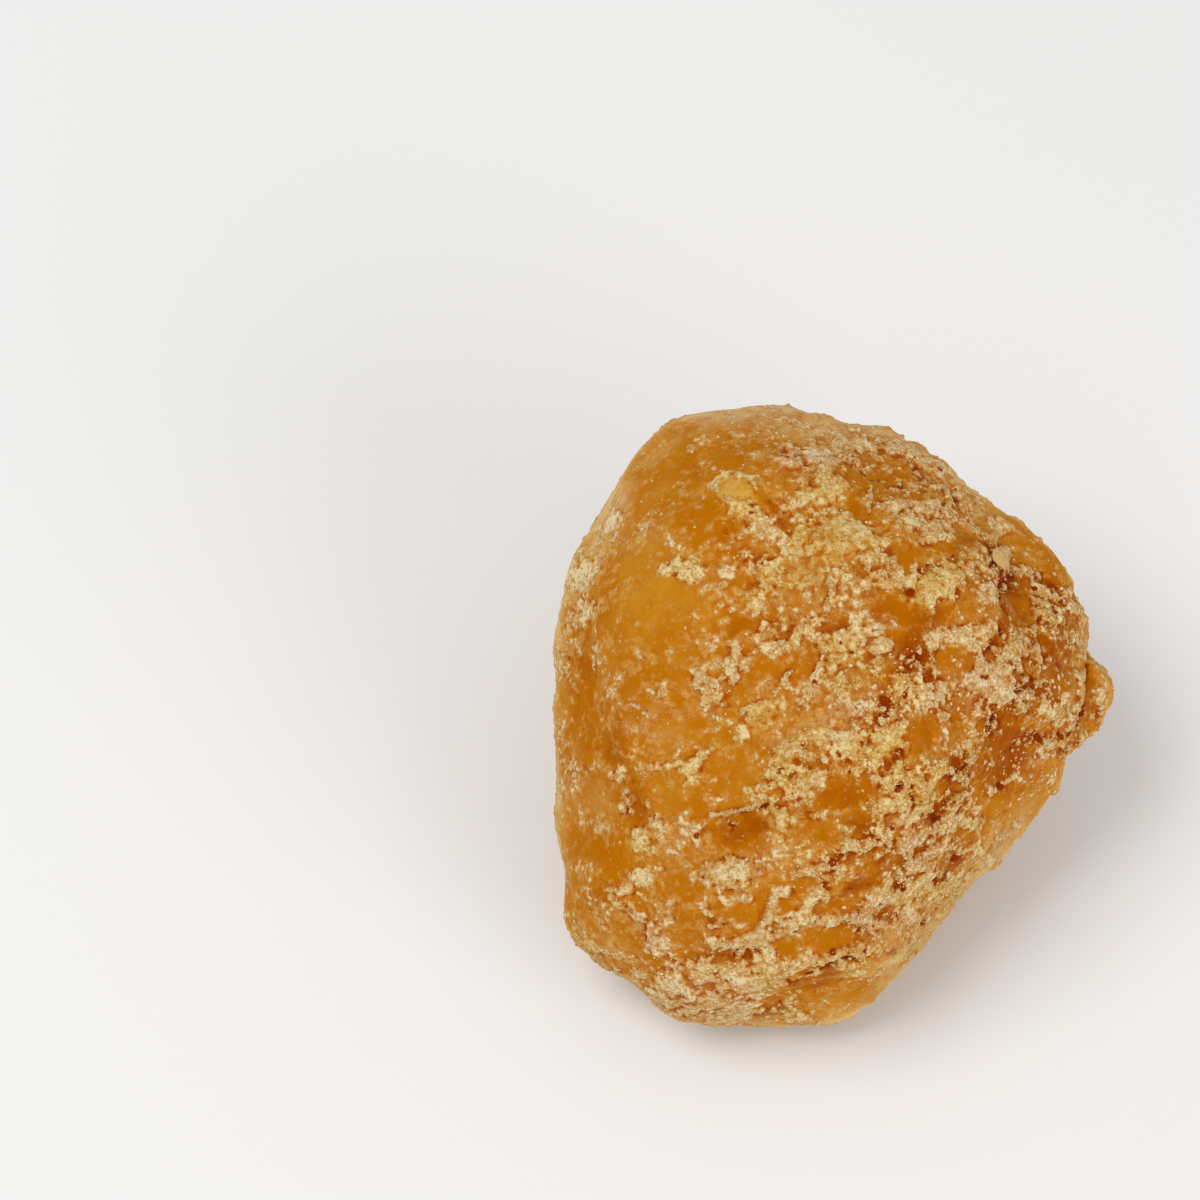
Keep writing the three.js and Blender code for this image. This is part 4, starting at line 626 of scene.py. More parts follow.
# Pinkish, greyish frost and crust (above zero) and yellower crust (below).
PINK = [
    (16.2, 3.0, 3.0, 1.8, 10, 1.0), (16.0, 13.2, 1.4, 1.8, 0, 0.9), (-12.2, -28.6, 4.2, 1.5, -6, 0.8),
    (-21.4, 20.6, 0.9, 2.0, -25, 0.3), (-25.2, 14.6, 1.2, 1.0, -35, 0.3), (-8.0, 30.6, 8.0, 1.2, 2, 0.9),
    (2.0, 28.6, 6.0, 1.0, -12, 0.8), (-7.3, -13.2, 1.2, 1.6, 0, 0.8), (5.2, 8.4, 2.6, 2.2, 0, 0.4),
    (-18.0, -1.0, 2.6, 1.6, -20, 0.6), (11.4, 4.0, 2.2, 2.2, 0, 0.5), (8.4, -13.2, 1.8, 1.8, 0, 0.5),
    (4.6, -20.6, 3.0, 1.2, 10, 0.7), (-17.6, -22.4, 2.0, 2.0, 0, 0.5), (21.2, -3.4, 2.2, 1.8, 0, 0.5),
    (-2.6, 25.4, 3.0, 1.4, 10, 0.6), (13.6, 23.4, 4.0, 1.0, -45, 0.1), (3.6, 0.0, 2.6, 1.4, 0, 0.5),
    (-25.0, -5.6, 2.0, 1.4, 0, 0.6), (-15.0, -12.6, 2.0, 1.6, 0, 0.4),
    (10.8, 13.2, 3.0, 1.8, 12, -0.8), (-9.4, 22.4, 2.4, 2.0, 0, -0.8), (-1.4, -26.4, 3.6, 1.6, 18, -0.6), (-14.8, 14.6, 1.6, 1.4, 0, -0.7),
    (-3.8, -5.4, 2.4, 1.6, 20, -0.6), (-5.3, -10.4, 1.8, 1.8, 0, -0.7), (6.8, -6.0, 1.8, 1.6, 0, -0.7),
    (5.2, -2.8, 2.2, 2.4, 0, -0.6), (0.8, 17.8, 3.4, 2.4, 0, -0.7), (-0.2, 22.8, 2.6, 1.6, 0, -0.6),
    (1.2, 6.6, 2.2, 2.0, 0, -0.6), (7.2, 3.4, 1.4, 1.6, 0, -0.8), (-6.8, 0.4, 2.0, 1.6, 0, -0.8),
    (-13.8, -5.0, 1.4, 1.4, 0, -0.7), (-19.0, -12.2, 1.2, 1.6, 0, -0.8), (9.0, -7.8, 1.4, 2.0, 0, -0.8),
    (-5.9, 14.0, 2.0, 1.4, 0, -0.5), (9.6, -19.0, 2.2, 3.6, -35, -0.3),
]


def patch(a, b, marks, power=1.6):
    """The strongest of the patches at each (a, b), as a plateau with soft edges."""
    best = np.zeros(len(a))
    for ca, cb, half_length, half_width, turn, weight in marks:
        near = (np.abs(a - ca) < 3 * max(half_length, half_width)) & (
            np.abs(b - cb) < 3 * max(half_length, half_width)
        )
        t = math.radians(turn)
        da, db = a[near] - ca, b[near] - cb
        x = (da * math.cos(t) + db * math.sin(t)) / half_length
        y = (-da * math.sin(t) + db * math.cos(t)) / half_width
        g = np.exp(-((0.72 * (x * x + y * y)) ** power)) * abs(weight)
        best[near] = np.maximum(best[near], g)
    return best


def sum_of(a, b, marks):
    """The sum of wide, soft patches."""
    total = np.zeros(len(a))
    for ca, cb, half_length, half_width, turn, weight in marks:
        t = math.radians(turn)
        x = ((a - ca) * math.cos(t) + (b - cb) * math.sin(t)) / half_length
        y = (-(a - ca) * math.sin(t) + (b - cb) * math.cos(t)) / half_width
        total += weight * np.exp(-0.7 * (x * x + y * y))
    return total


def along_line(a, b, points):
    """Distance to the line, and how far along it the nearest place is, 0 to 1."""
    nearest = np.full(len(a), 99.0)
    place = np.zeros(len(a))
    pieces_of_line = list(zip(points[:-1], points[1:]))
    for number, ((ax, ay), (bx, by)) in enumerate(pieces_of_line):
        dx, dy = bx - ax, by - ay
        t = np.clip(((a - ax) * dx + (b - ay) * dy) / (dx * dx + dy * dy), 0, 1)
        d = np.hypot(a - ax - t * dx, b - ay - t * dy)
        closer = d < nearest
        nearest = np.where(closer, d, nearest)
        place = np.where(closer, (number + t) / len(pieces_of_line), place)
    return nearest, place


def side_of_line(a, b, points):
    """1 on the left of the line, going along it, and -1 on the right."""
    nearest = np.full(len(a), 99.0)
    sign = np.ones(len(a))
    for (ax, ay), (bx, by) in zip(points[:-1], points[1:]):
        dx, dy = bx - ax, by - ay
        t = np.clip(((a - ax) * dx + (b - ay) * dy) / (dx * dx + dy * dy), 0, 1)
        d = np.hypot(a - ax - t * dx, b - ay - t * dy)
        cross = dx * (b - ay) - dy * (a - ax)
        closer = d < nearest - 1e-9
        nearest = np.where(closer, d, nearest)
        sign = np.where(closer, np.where(cross >= 0, 1.0, -1.0), sign)
    return sign


# ---- the body's mesh -----------------------------------------------------------------------------------------
VOXEL = 0.285
MOST_TRIANGLES = 196_000


def fine_copy(node):
    """The node's surface as an even mesh of small quads: points (mm) and quads."""
    o = bpy.data.objects.new("grow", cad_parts[node].data.copy())
    SCENE.collection.objects.link(o)
    o.scale = (1000,) * 3
    bpy.context.view_layer.update()
    o.data.transform(o.matrix_world)
    o.scale = (1, 1, 1)
    remesh = o.modifiers.new("even", "REMESH")
    remesh.mode = "VOXEL"
    remesh.voxel_size = VOXEL
    remesh.adaptivity = 0
    bpy.context.view_layer.update()
    mesh = bpy.data.meshes.new_from_object(o.evaluated_get(bpy.context.evaluated_depsgraph_get()))
    points = np.empty(len(mesh.vertices) * 3)
    mesh.vertices.foreach_get("co", points)
    points = points.reshape(-1, 3)
    corners = np.empty(len(mesh.loops), np.int64)
    mesh.loops.foreach_get("vertex_index", corners)
    starts = np.empty(len(mesh.polygons), np.int64)
    mesh.polygons.foreach_get("loop_start", starts)
    totals = np.empty(len(mesh.polygons), np.int64)
    mesh.polygons.foreach_get("loop_total", totals)
    if not (totals == 4).all():
        raise RuntimeError("the even mesh has faces that aren't quads")
    quads = corners[starts[:, None] + np.arange(4)]
    bpy.data.objects.remove(o)
    bpy.data.meshes.remove(mesh)
    return points, quads


points, quads = fine_copy("jaggery_block")
edges = np.unique(np.sort(np.concatenate([quads[:, [0, 1]], quads[:, [1, 2]], quads[:, [2, 3]], quads[:, [3, 0]]]), axis=1), axis=0)
valence = np.bincount(edges.ravel(), minlength=len(points)).astype(float)


def neighbour_mean(values):
    total = np.stack(
        [
            np.bincount(edges[:, 0], values[edges[:, 1], k], len(points))
            + np.bincount(edges[:, 1], values[edges[:, 0], k], len(points))
            for k in range(values.shape[1])
        ],
        1,
    )
    return total / valence[:, None]


def relax(values, rounds, keep=True):
    """Smooths; with keep, each round is undone a little so that the shape doesn't shrink."""
    for _ in range(rounds):
        values = values + 0.55 * (neighbour_mean(values) - values)
        if keep:
            values = values - 0.56 * (neighbour_mean(values) - values)
    return values


def normals_of(p):
    d1, d2 = p[quads[:, 2]] - p[quads[:, 0]], p[quads[:, 3]] - p[quads[:, 1]]
    face = np.cross(d1, d2)
    n = np.zeros_like(p)
    for k in range(4):
        for axis in range(3):
            n[:, axis] += np.bincount(quads[:, k], face[:, axis], len(p))
    return n / np.maximum(np.linalg.norm(n, axis=1), 1e-12)[:, None]


points = relax(points, 14)
points = relax(points, 2, keep=False)
base = points.copy()
smooth_normal = relax(normals_of(base), 6, keep=False)
smooth_normal /= np.linalg.norm(smooth_normal, axis=1)[:, None]


def seen_from_place(p):
    """Where each point appears from the fixed place in front of the broad face."""
    ray = p - EYE
    depth = -(ray @ OUT_OF_FACE)
    return AIM_RIGHT + EYE_DISTANCE * (ray @ ACROSS) / depth, AIM_UP + EYE_DISTANCE * (ray @ UP_FACE) / depth


a0, b0 = seen_from_place(base)
facing = (smooth_normal * (EYE - base) / np.linalg.norm(base - EYE, axis=1)[:, None]).sum(1)
front = ramp(facing, -0.05, 0.18)

# ---- large relief, mm along the outward normal ---------------------------------------------------------------
outline = np.array(OUTLINE)
turn_about = np.degrees(np.arctan2(b0, a0))
outward = np.interp(turn_about, outline[:, 0], outline[:, 1], period=360)
outward *= ramp(facing, 0.60, 0.15) * ramp(facing, -0.55, -0.10) * ramp(base[:, 2], 0.6, 3.0)
reach = np.hypot(a0, b0)[:, None]
shifted = base + outward[:, None] * (a0[:, None] * ACROSS + b0[:, None] * UP_FACE) / reach

height = np.full(len(base), -0.16)
side = 1 - front
height += (0.20 + 0.34 * side) * noise(base, 6.5, 61)
height += (0.12 + 0.20 * side) * noise(base, 3.1, 63)
height += (0.045 + 0.05 * side) * noise(base, 1.5, 65)

# facets and shallow scoops where the mass broke or was pressed
shift = 0.8 * np.stack([noise(base, 3, 71), noise(base, 3, 72), noise(base, 3, 73)], 1)
first, second, tag = cells(base + shift, 5.2, 75)
height -= (0.12 + 0.06 * side) * ramp(0.24 - (second - first), 0, 0.24)
height += (0.08 + 0.24 * side) * (tag - 0.5)

# The mass as it stands under its crust. The marks are laid out on it, and all finer patterns are read on it.
mass = shifted + height[:, None] * smooth_normal
a0, b0 = seen_from_place(mass)

# Ragged edges: the marks are read at a slightly wandering place.
wander = 0.50 * fbm(mass, 1.6, 3, 3, 0.6), 0.50 * fbm(mass, 1.6, 3, 5, 0.6)
a, b = a0 + wander[0], b0 + wander[1]
far_a, far_b = a0 + 1.9 * wander[0], b0 + 1.9 * wander[1]

crust_marks = patch(a, b, CRUST)
bare_marks = patch(a, b, BARE)
frost_marks = patch(a, b, FROST, 1.0)
# the amber's own depth of colour, with painted shade in hollows and painted light on swellings
deeper_and_shaded = patch(far_a, far_b, [m for m in AMBER_DEPTH_AND_SHADING if m[5] > 0], 1.5)
lighter_and_lit = patch(a, b, [m for m in AMBER_DEPTH_AND_SHADING if m[5] < 0], 1.0)
pink = patch(a, b, [m for m in PINK if m[5] > 0], 1.0) - patch(a, b, [m for m in PINK if m[5] < 0], 1.0)
ground = sum_of(a, b, GROUND)
gapped = front * patch(far_a, far_b, BROKEN, 1.2)
broken_up = np.maximum(gapped, front * patch(a, b, ROUGH, 1.0))
loose = front * patch(a, b, LOOSE, 1.0)
filmy = front * patch(far_a, far_b, FILM, 1.0)
# painted shade on the lower right slope
slope_shade = front * patch(a, b, SLOPE_SHADE, 1.0)

# How thick the crust is: laid out on the broad face, and drifting by itself round the sides and back.
drift = fbm(mass, 11.0, 2, 21)
patchy = fbm(mass, 3.4, 3, 23, 0.6)
laid = 0.335 + ground + 0.35 * crust_marks - 0.22 * bare_marks - 0.05 * deeper_and_shaded
laid += 0.10 * ramp(-a0, 18, 26) * (shader_noise(mass, 0.35, 1, 0.5) > 0.52)
cover = front * laid + (1 - front) * (0.47 + 0.15 * drift + 0.20 * patchy)

ridges = np.zeros(len(base))
ridge_height = np.zeros(len(base))
for rise, half_width, line in RIDGES:
    thin = half_width < 0.28
    stray = 0.3 if thin else 0.7
    d, place = along_line(a0 + stray * wander[0], b0 + stray * wander[1], line)
    g = front * np.exp(-((d / half_width) ** 2)) * (0.5 + 0.5 * ramp(place, 0, 0.1) * ramp(1 - place, 0, 0.1))
    ridge_height = np.maximum(ridge_height, rise * g)
    ridges = np.maximum(ridges, g * (2.0 if thin else 1))
cover = cover + 0.34 * ridges * (1 - 0.5 * np.minimum(crust_marks, 1))

# The crust stands where this is over CRUST_EDGE. The shader adds the same noise, and finer, to cover.
CRUST_EDGE = 0.5
FLECKS = ((0.42, 1, 0.6, 1.35), (1.3, 1, 0.6, 0.62))  # turns per mm, detail, roughness, share
CRUMBS = ((1.15, 0.38), (2.4, 0.14))  # rounded crumbs: how many per mm, share


BREAKS = ((1.55, 1, 0.6), 1.2, 0.0)  # where it is broken up: turns per mm, detail, roughness; share; thinner by


def crust_at(p, cover, broken_up, finer=0):
    value = cover + broken_up * (BREAKS[2] + BREAKS[1] * (shader_noise(p, *BREAKS[0]) - 0.5))
    for turns, detail, rough, share in FLECKS:
        value += share * (shader_noise(p, turns, detail + finer, rough) - 0.5)
    for turns, share in CRUMBS[: 1 + finer]:
        value += share * (0.47 - shader_cells(p, turns))
    return value


cover = cover + 0.75 * gapped * (0.535 - cover)
crust = crust_at(mass, cover, broken_up)
crusted = ramp(crust, CRUST_EDGE - 0.10, CRUST_EDGE + 0.12)

# paler frost toward the outline, where the surface turns away from the fixed place: partly frost, partly a painted
# sheen
outline_frost_and_sheen = front * ramp(facing, 0.40, 0.04)
frost = front * (0.10 + 0.85 * frost_marks - 0.45 * deeper_and_shaded) + (1 - front) * (0.62 + 0.4 * drift) + 0.16 * fbm(mass, 2.4, 3, 41, 0.6)
frost += 0.85 * outline_frost_and_sheen
# painted shade and light: the amber is deepened in hollows, creases and under ledges and lightened on swellings,
# besides its own changes of colour
amber_depth_and_shading = front * (0.78 * deeper_and_shaded - 0.75 * lighter_and_lit + 0.36 * ramp(ground, 0.03, 0.16)) + (1 - front) * 0.55 * fbm(mass, 6.0, 2, 51) + 0.22 * fbm(mass, 4.0, 2, 53)
amber_depth_and_shading += 1.6 * (shader_noise(mass, 0.20, 2, 0.55) - 0.5) + (0.6 + 1.8 * broken_up) * (shader_noise(mass, 0.60, 2, 0.65) - 0.5)
frost += 1.5 * (shader_noise(mass, 0.8, 2, 0.6) - 0.5)
soft = 9 + 13 * ramp(shader_noise(mass, 0.45, 2, 0.6), 0.40, 0.60) + 8 * broken_up
haze = ramp(shader_noise(mass, 0.9, 2, 0.6), 0.36, 0.60)
tone = 2.2 * (shader_noise(mass, 0.5, 2, 0.6) - 0.5) + 1.2 * np.maximum(crust_marks - 0.9, 0)
grainy = ramp(frost + 0.6 * cover + 2.4 * (shader_noise(mass + 40, 0.5, 2, 0.6) - 0.5), 0.2, 0.9)
# where the painted shadow at the foot of the crust may show
foot = ramp(shader_noise(mass + 80, 0.8, 2, 0.6) + 0.08 * broken_up, 0.50, 0.60) * (0.30 + 0.70 * ramp(broken_up, 0.0, 0.5)) * ramp(cover, 0.34, 0.46)
pink = front * pink + (1 - front) * 0.9 * fbm(mass, 9.0, 2, 57) + 0.35 * fbm(mass, 3.2, 2, 59)

# ---- fine relief, mm along the outward normal ----------------------------------------------------------------
# crust: a thin layer of packed crumbs, thicker where there is much of it
grain1 = shader_cells(mass, CRUMBS[0][0])
grain2, gap2, tag2 = cells(mass, 1.9, 83)
lumps = 0.26 * (0.50 - grain1) + 0.10 * (0.6 - grain2) + 0.10 * (tag2 - 0.5)
smoother = 1 - 0.65 * np.exp(-((facing / 0.35) ** 2)) * ramp(-a0, 4, 14) * ramp(base[:, 2], 3, 8)
height *= smoother
height += crusted * smoother * (0.14 + 0.35 * (np.minimum(cover, 0.75) - 0.45) + (0.62 + 0.28 * broken_up - 0.30 * filmy) * lumps)
# between the crumbs of a thick crust it is deeper
thick = ramp(cover, 0.44, 0.62)
height -= np.maximum(0.12 * thick, 0.24 * broken_up) * (1 - 0.6 * filmy) * (1 - crusted)
height += ridge_height

# flakes
flake_edge = 0.16 * fbm(mass, 1.0, 2, 91)
plates = np.zeros(len(base))
for ca, cb, half_length, half_width, turn, thickness in FLAKES:
    t = math.radians(turn)
    da, db = a0 + 0.5 * wander[0] - ca, b0 + 0.5 * wander[1] - cb
    x = (da * math.cos(t) + db * math.sin(t)) / half_length
    y = (-da * math.sin(t) + db * math.cos(t)) / half_width
    inside = 1 - np.sqrt(x * x + y * y) + flake_edge
    plates = np.maximum(plates, front * thickness * ramp(inside, -0.06, 0.22))
height += plates
height -= (0.30 + 0.28 * (1 - filmy) + 0.25 * broken_up) * crusted * ramp(plates, 0.08, 0.20) * lumps

# ledges, cracks, seams and pits, with painted shade in the cracks and pits and a painted shadow just below the ledges
dark = np.zeros(len(base))
broken = ramp(fbm(mass, 1.3, 2, 93, 0.6), -0.25, 0.35)
for rise, reach_up, drop, reach_down, line in LEDGES:
    strayed = a0 + 0.8 * wander[0], b0 + 0.8 * wander[1]
    d, place = along_line(*strayed, line)
    d = d * side_of_line(*strayed, line)
    taper = front * ramp(place, 0, 0.12) * ramp(1 - place, 0, 0.12) * (0.55 + 0.45 * broken)
    up = ramp(d, -0.60, 0.45)
    height += 0.75 * taper * (up * rise * np.exp(-np.maximum(d, 0) / reach_up) - (1 - up) * drop * np.exp(np.minimum(d, 0) / reach_down))
    # painted shadow: a dark band just below the ledge
    dark = np.maximum(dark, 0.6 * taper * broken * np.exp(-(((d + 0.36) / 0.34) ** 2)))
for sink, half_width, line in CRACKS:
    d, place = along_line(a, b, line)
    d = d * (1 + 0.5 * noise(mass, 0.9, 97))
    taper = ramp(place, 0, 0.12) * ramp(1 - place, 0, 0.12)
    g = front * np.exp(-((d / half_width) ** 2)) * (0.35 + 0.65 * taper)
    if half_width < 0.6:
        whole = sink > 0.9
        g *= 0.25 + 0.75 * (1 if whole else broken)
        g = np.maximum(g, front * np.exp(-((d / half_width) ** 2))) if whole else g
        dark = np.maximum(dark, g * min(1, sink / 0.5))
        g *= 0.3 if whole else 0.7
    height -= 0.75 * sink * g
for ca, cb, half_width, sink in PITS:
    d = np.hypot(a0 + 0.6 * wander[0] - ca, b0 + 0.6 * wander[1] - cb) * (1 + 0.5 * noise(mass, 0.8, 99))
    g = front * np.exp(-((d / half_width) ** 2))
    height -= 0.55 * sink * g
    dark = np.maximum(dark, np.minimum(1, 1.7 * g) * min(1, sink / 0.5))

# little holes of their own, mostly among the crust, and more round the sides, darkened with painted shade
hole, hole_gap, hole_tag = cells(mass, 2.1, 103)
hole_r = 0.08 + 0.15 * hole_tag
some = (hole_tag > 0.66 - 0.25 * side) * ramp(cover, 0.42, 0.56)
g = some * ramp(hole_r - hole, 0, 0.10)
height -= 0.20 * g
dark = np.maximum(dark, 0.8 * g)

# toward the flat spot underneath the relief dies away, and nothing goes below the floor
low = ramp(base[:, 2], 0.25, 2.2)
height *= 0.15 + 0.85 * low
points = shifted + height[:, None] * smooth_normal
points[:, 2] = np.maximum(points[:, 2], 0.0)
plate = plates / 0.3 + 1.2 * (shader_noise(mass, 1.0, 2, 0.6) - 0.5)
# how far each point lies under the mean of those about it, in tenths of a millimetre
cavity = ((relax(points, 3, keep=False) - points) * smooth_normal).sum(1) / 0.1


# ---- materials ------------------------------------------------------------------------------------------------
def srgb(r, g, b, alpha=1.0):
    def lin(c):
        c /= 255
        return c / 12.92 if c <= 0.04045 else ((c + 0.055) / 1.055) ** 2.4

    return (lin(r), lin(g), lin(b), alpha)


LIGHT_AMBER, AMBER, DEEP_AMBER = (198, 137, 34), (183, 108, 0), (158, 76, 0)
# These two colours are painted shade: in the crust's gaps, and in cracks, pits and below the ledges.
GAP_SHADE, CREVICE = (152, 70, 0), (142, 50, 0)


class Tree:
    """Small helper to write node graphs as formulas."""

    def __init__(self, material):
        material.use_nodes = True
        self.tree = material.node_tree
        self.tree.nodes.clear()

    def node(self, kind, **settings):
        n = self.tree.nodes.new(kind)
        for key, value in settings.items():
            setattr(n, key, value)
        return n

    def put(self, socket, value):
        if isinstance(value, bpy.types.NodeSocket):
            self.tree.links.new(value, socket)
        elif value is not None:
            socket.default_value = value

    def math(self, operation, x, y=None, z=None, clamp=False):
        n = self.node("ShaderNodeMath", operation=operation, use_clamp=clamp)
        self.put(n.inputs[0], x)
        if y is not None:
            self.put(n.inputs[1], y)
        if z is not None:
            self.put(n.inputs[2], z)
        return n.outputs[0]

    def add(self, *terms):
        total = terms[0]
        for t in terms[1:]:
            total = self.math("ADD", total, t)
        return total

    def times(self, x, y):
        return self.math("MULTIPLY", x, y)

    def ramp(self, x, low, high, out_low=0.0, out_high=1.0):
        n = self.node("ShaderNodeMapRange", interpolation_type="SMOOTHSTEP")
        self.put(n.inputs["Value"], x)
        n.inputs["From Min"].default_value = low
        n.inputs["From Max"].default_value = high
        n.inputs["To Min"].default_value = out_low
        n.inputs["To Max"].default_value = out_high
        return n.outputs["Result"]

    def attribute(self, name):
        return self.node("ShaderNodeAttribute", attribute_name=name).outputs["Fac"]

    def noise(self, where, scale, detail=2.0, rough=0.5):
        n = self.node("ShaderNodeTexNoise")
        self.put(n.inputs["Vector"], where)
        n.inputs["Scale"].default_value = scale
        n.inputs["Detail"].default_value = detail
        n.inputs["Roughness"].default_value = rough
        return n.outputs["Fac"]

    def cells(self, where, scale, feature="F1", output="Distance"):
        n = self.node("ShaderNodeTexVoronoi", feature=feature)
        self.put(n.inputs["Vector"], where)
        n.inputs["Scale"].default_value = scale
        return n.outputs[output]

    def blend(self, amount, x, y, way="MIX"):
        n = self.node("ShaderNodeMix", data_type="RGBA", blend_type=way)
        self.put(n.inputs[0], amount)
        self.put(n.inputs[6], x)
        self.put(n.inputs[7], y)
        return n.outputs[2]


def jaggery_material():
    m = bpy.data.materials.new("jaggery_skin")
    t = Tree(m)
    spot = t.node("ShaderNodeAttribute", attribute_name="spot").outputs["Vector"]  # mm, on the mass under its crust
    cover_v, frost_v = t.attribute("cover"), t.attribute("frost")
    depth_and_shading_v, dark_v, pink_v = t.attribute("amber_depth_and_shading"), t.attribute("dark"), t.attribute("pink")
    broken_v, plate_v, soft_v, haze_v = t.attribute("broken"), t.attribute("plate"), t.attribute("soft"), t.attribute("haze")
    tone_v, grainy_v, foot_shadow_v, cavity_v = t.attribute("tone"), t.attribute("grainy"), t.attribute("foot"), t.attribute("cavity")
    filmy_v, slope_shade_v = t.attribute("filmy"), t.attribute("slope_shade")

    def spread(scale, detail, rough, share):
        return t.times(t.math("SUBTRACT", t.noise(spot, scale, detail, rough), 0.5), share)

    n_fine = t.noise(spot, 3.6, 1, 0.5)
    n_grain = t.noise(spot, 2.1, 2, 0.6)
    about_fine, about_grain = t.math("SUBTRACT", n_fine, 0.5), t.math("SUBTRACT", n_grain, 0.5)
    dots = t.cells(spot, 0.95)
    crumbs_of = [t.cells(spot, turns) for turns, share in CRUMBS]
    specks = crumbs_of[1]

    # the crust: its flecks are the relief's, with rounded crumbs and finer raggedness
    (turns, detail, rough), share, thinner = BREAKS
    crust = t.add(
        cover_v,
        t.times(broken_v, t.add(spread(turns, detail + 1, rough, share), thinner)),
        *[spread(turns, detail + 1, rough, share) for turns, detail, rough, share in FLECKS],
        *[t.times(t.math("SUBTRACT", 0.47, distance), share) for distance, (turns, share) in zip(crumbs_of, CRUMBS)],
        t.times(about_fine, 0.22),
    )
    # its edge is crisp in some places and thins out in others
    crust_m = t.ramp(t.times(t.math("SUBTRACT", crust, CRUST_EDGE + 0.01), soft_v), -1.0, 1.0)
    film_m = t.times(t.ramp(crust, CRUST_EDGE - 0.32, CRUST_EDGE - 0.02), t.add(t.times(haze_v, 0.85), 0.15))

    # a thin frost in specks
    frost_e = t.add(frost_v, t.times(about_fine, 0.5), t.times(about_grain, 0.3))
    frost_m = t.ramp(frost_e, 0.05, 0.95)

    # amber: lighter and yellower on swellings, as painted light, deeper and redder in hollows, as painted shade, and
    # elsewhere changing in colour of its own
    amber_depth_shading_v = t.add(depth_and_shading_v, t.times(about_grain, 0.5))
    amber = t.blend(t.ramp(amber_depth_shading_v, -0.9, 0.10), srgb(*LIGHT_AMBER), srgb(*AMBER))
    amber = t.blend(t.ramp(amber_depth_shading_v, 0.05, 1.0), amber, srgb(*DEEP_AMBER))
    frost_c = t.blend(t.ramp(pink_v, -0.4, 0.6), srgb(206, 160, 78), srgb(203, 156, 100))
    amber = t.blend(t.times(frost_m, 0.60), amber, frost_c)
    thick_frost = t.blend(t.ramp(pink_v, -0.4, 0.6), srgb(220, 190, 124), srgb(218, 184, 136))
    amber = t.blend(t.times(t.ramp(frost_e, 0.70, 1.30), 0.75), amber, thick_frost)
    # the plates are paler than the mass
    amber = t.blend(t.times(t.ramp(t.add(plate_v, t.times(about_grain, 3.0)), 0.30, 1.20), 0.72), amber, srgb(209, 166, 84))
    # gaps in a thick crust are deep and dark: painted shade between the crumbs, in the colour of the amber there
    hollow = t.ramp(crust, CRUST_EDGE - 0.03, CRUST_EDGE - 0.16)
    gap_shade = t.times(t.times(t.ramp(cover_v, 0.44, 0.62), hollow), t.ramp(crust, CRUST_EDGE - 0.42, CRUST_EDGE - 0.26))
    haze_c = t.blend(t.ramp(pink_v, -0.6, 0.5), srgb(207, 160, 74), srgb(207, 160, 94))
    film_m = t.times(film_m, t.ramp(broken_v, 0.0, 0.8, 0.66, 0.28))
    hazed = t.times(t.ramp(t.add(crust, t.times(filmy_v, 0.30)), CRUST_EDGE - 0.16, CRUST_EDGE + 0.16), t.times(filmy_v, 0.80))
    film_m = t.math("MAXIMUM", film_m, hazed)
    film_m = t.times(film_m, t.ramp(t.add(about_fine, about_grain), -0.30, 0.12, 0.55, 1.25))
    film_m = t.times(film_m, t.ramp(amber_depth_shading_v, 0.25, 0.95, 1.0, 0.40))
    amber = t.blend(film_m, amber, haze_c)
    amber = t.blend(t.times(gap_shade, t.ramp(filmy_v, 0.0, 1.0, 0.80, 0.25)), amber, srgb(*GAP_SHADE))
    deep_gap_shade = t.times(t.ramp(broken_v, 0.15, 0.85), t.ramp(crust, CRUST_EDGE - 0.08, CRUST_EDGE - 0.30))
    amber = t.blend(t.times(deep_gap_shade, 0.90), amber, srgb(*CREVICE))
    # painted shadow: here and there a thin dark line at the foot of the crust
    reach = t.add(crust, t.times(broken_v, 0.09))
    foot = t.times(t.ramp(reach, CRUST_EDGE - 0.135, CRUST_EDGE - 0.085), t.ramp(crust, CRUST_EDGE - 0.005, CRUST_EDGE - 0.045))
    foot = t.times(foot, foot_shadow_v)
    amber = t.blend(t.times(foot, 0.85), amber, srgb(140, 52, 0))

    # crust: straw, beige and a few near-white grains. The middles of the crumbs, which stand highest in the relief,
    # are painted lighter and the ground between them and the low parts of the fine relief darker: painted light and
    # shade.
    c_tone = t.add(
        tone_v, t.times(about_grain, 1.5),
        t.times(
            t.ramp(filmy_v, 0.0, 1.0, 1.0, 0.5),
            t.add(
                t.times(about_fine, 1.5), t.times(t.math("SUBTRACT", 0.44, crumbs_of[0]), 1.1),
                t.times(t.math("SUBTRACT", 0.44, crumbs_of[1]), 0.7),
            ),
        ),
        t.times(t.math("SUBTRACT", crust, CRUST_EDGE + 0.12), 1.0), t.ramp(filmy_v, 0.5, 1.0, 0.0, -0.26),
    )
    yellow = t.blend(t.ramp(c_tone, -0.55, 0.05), srgb(189, 134, 50), srgb(208, 172, 102))
    yellow = t.blend(t.ramp(c_tone, 0.0, 0.50), yellow, srgb(221, 199, 141))
    rosy = t.blend(t.ramp(c_tone, -0.55, 0.05), srgb(188, 134, 68), srgb(209, 170, 114))
    rosy = t.blend(t.ramp(c_tone, 0.0, 0.50), rosy, srgb(223, 203, 158))
    crust_c = t.blend(t.ramp(pink_v, -0.55, 0.40), yellow, rosy)
    crust_c = t.blend(t.ramp(specks, 0.26, 0.12, 0.0, 0.45), crust_c, srgb(225, 204, 157))
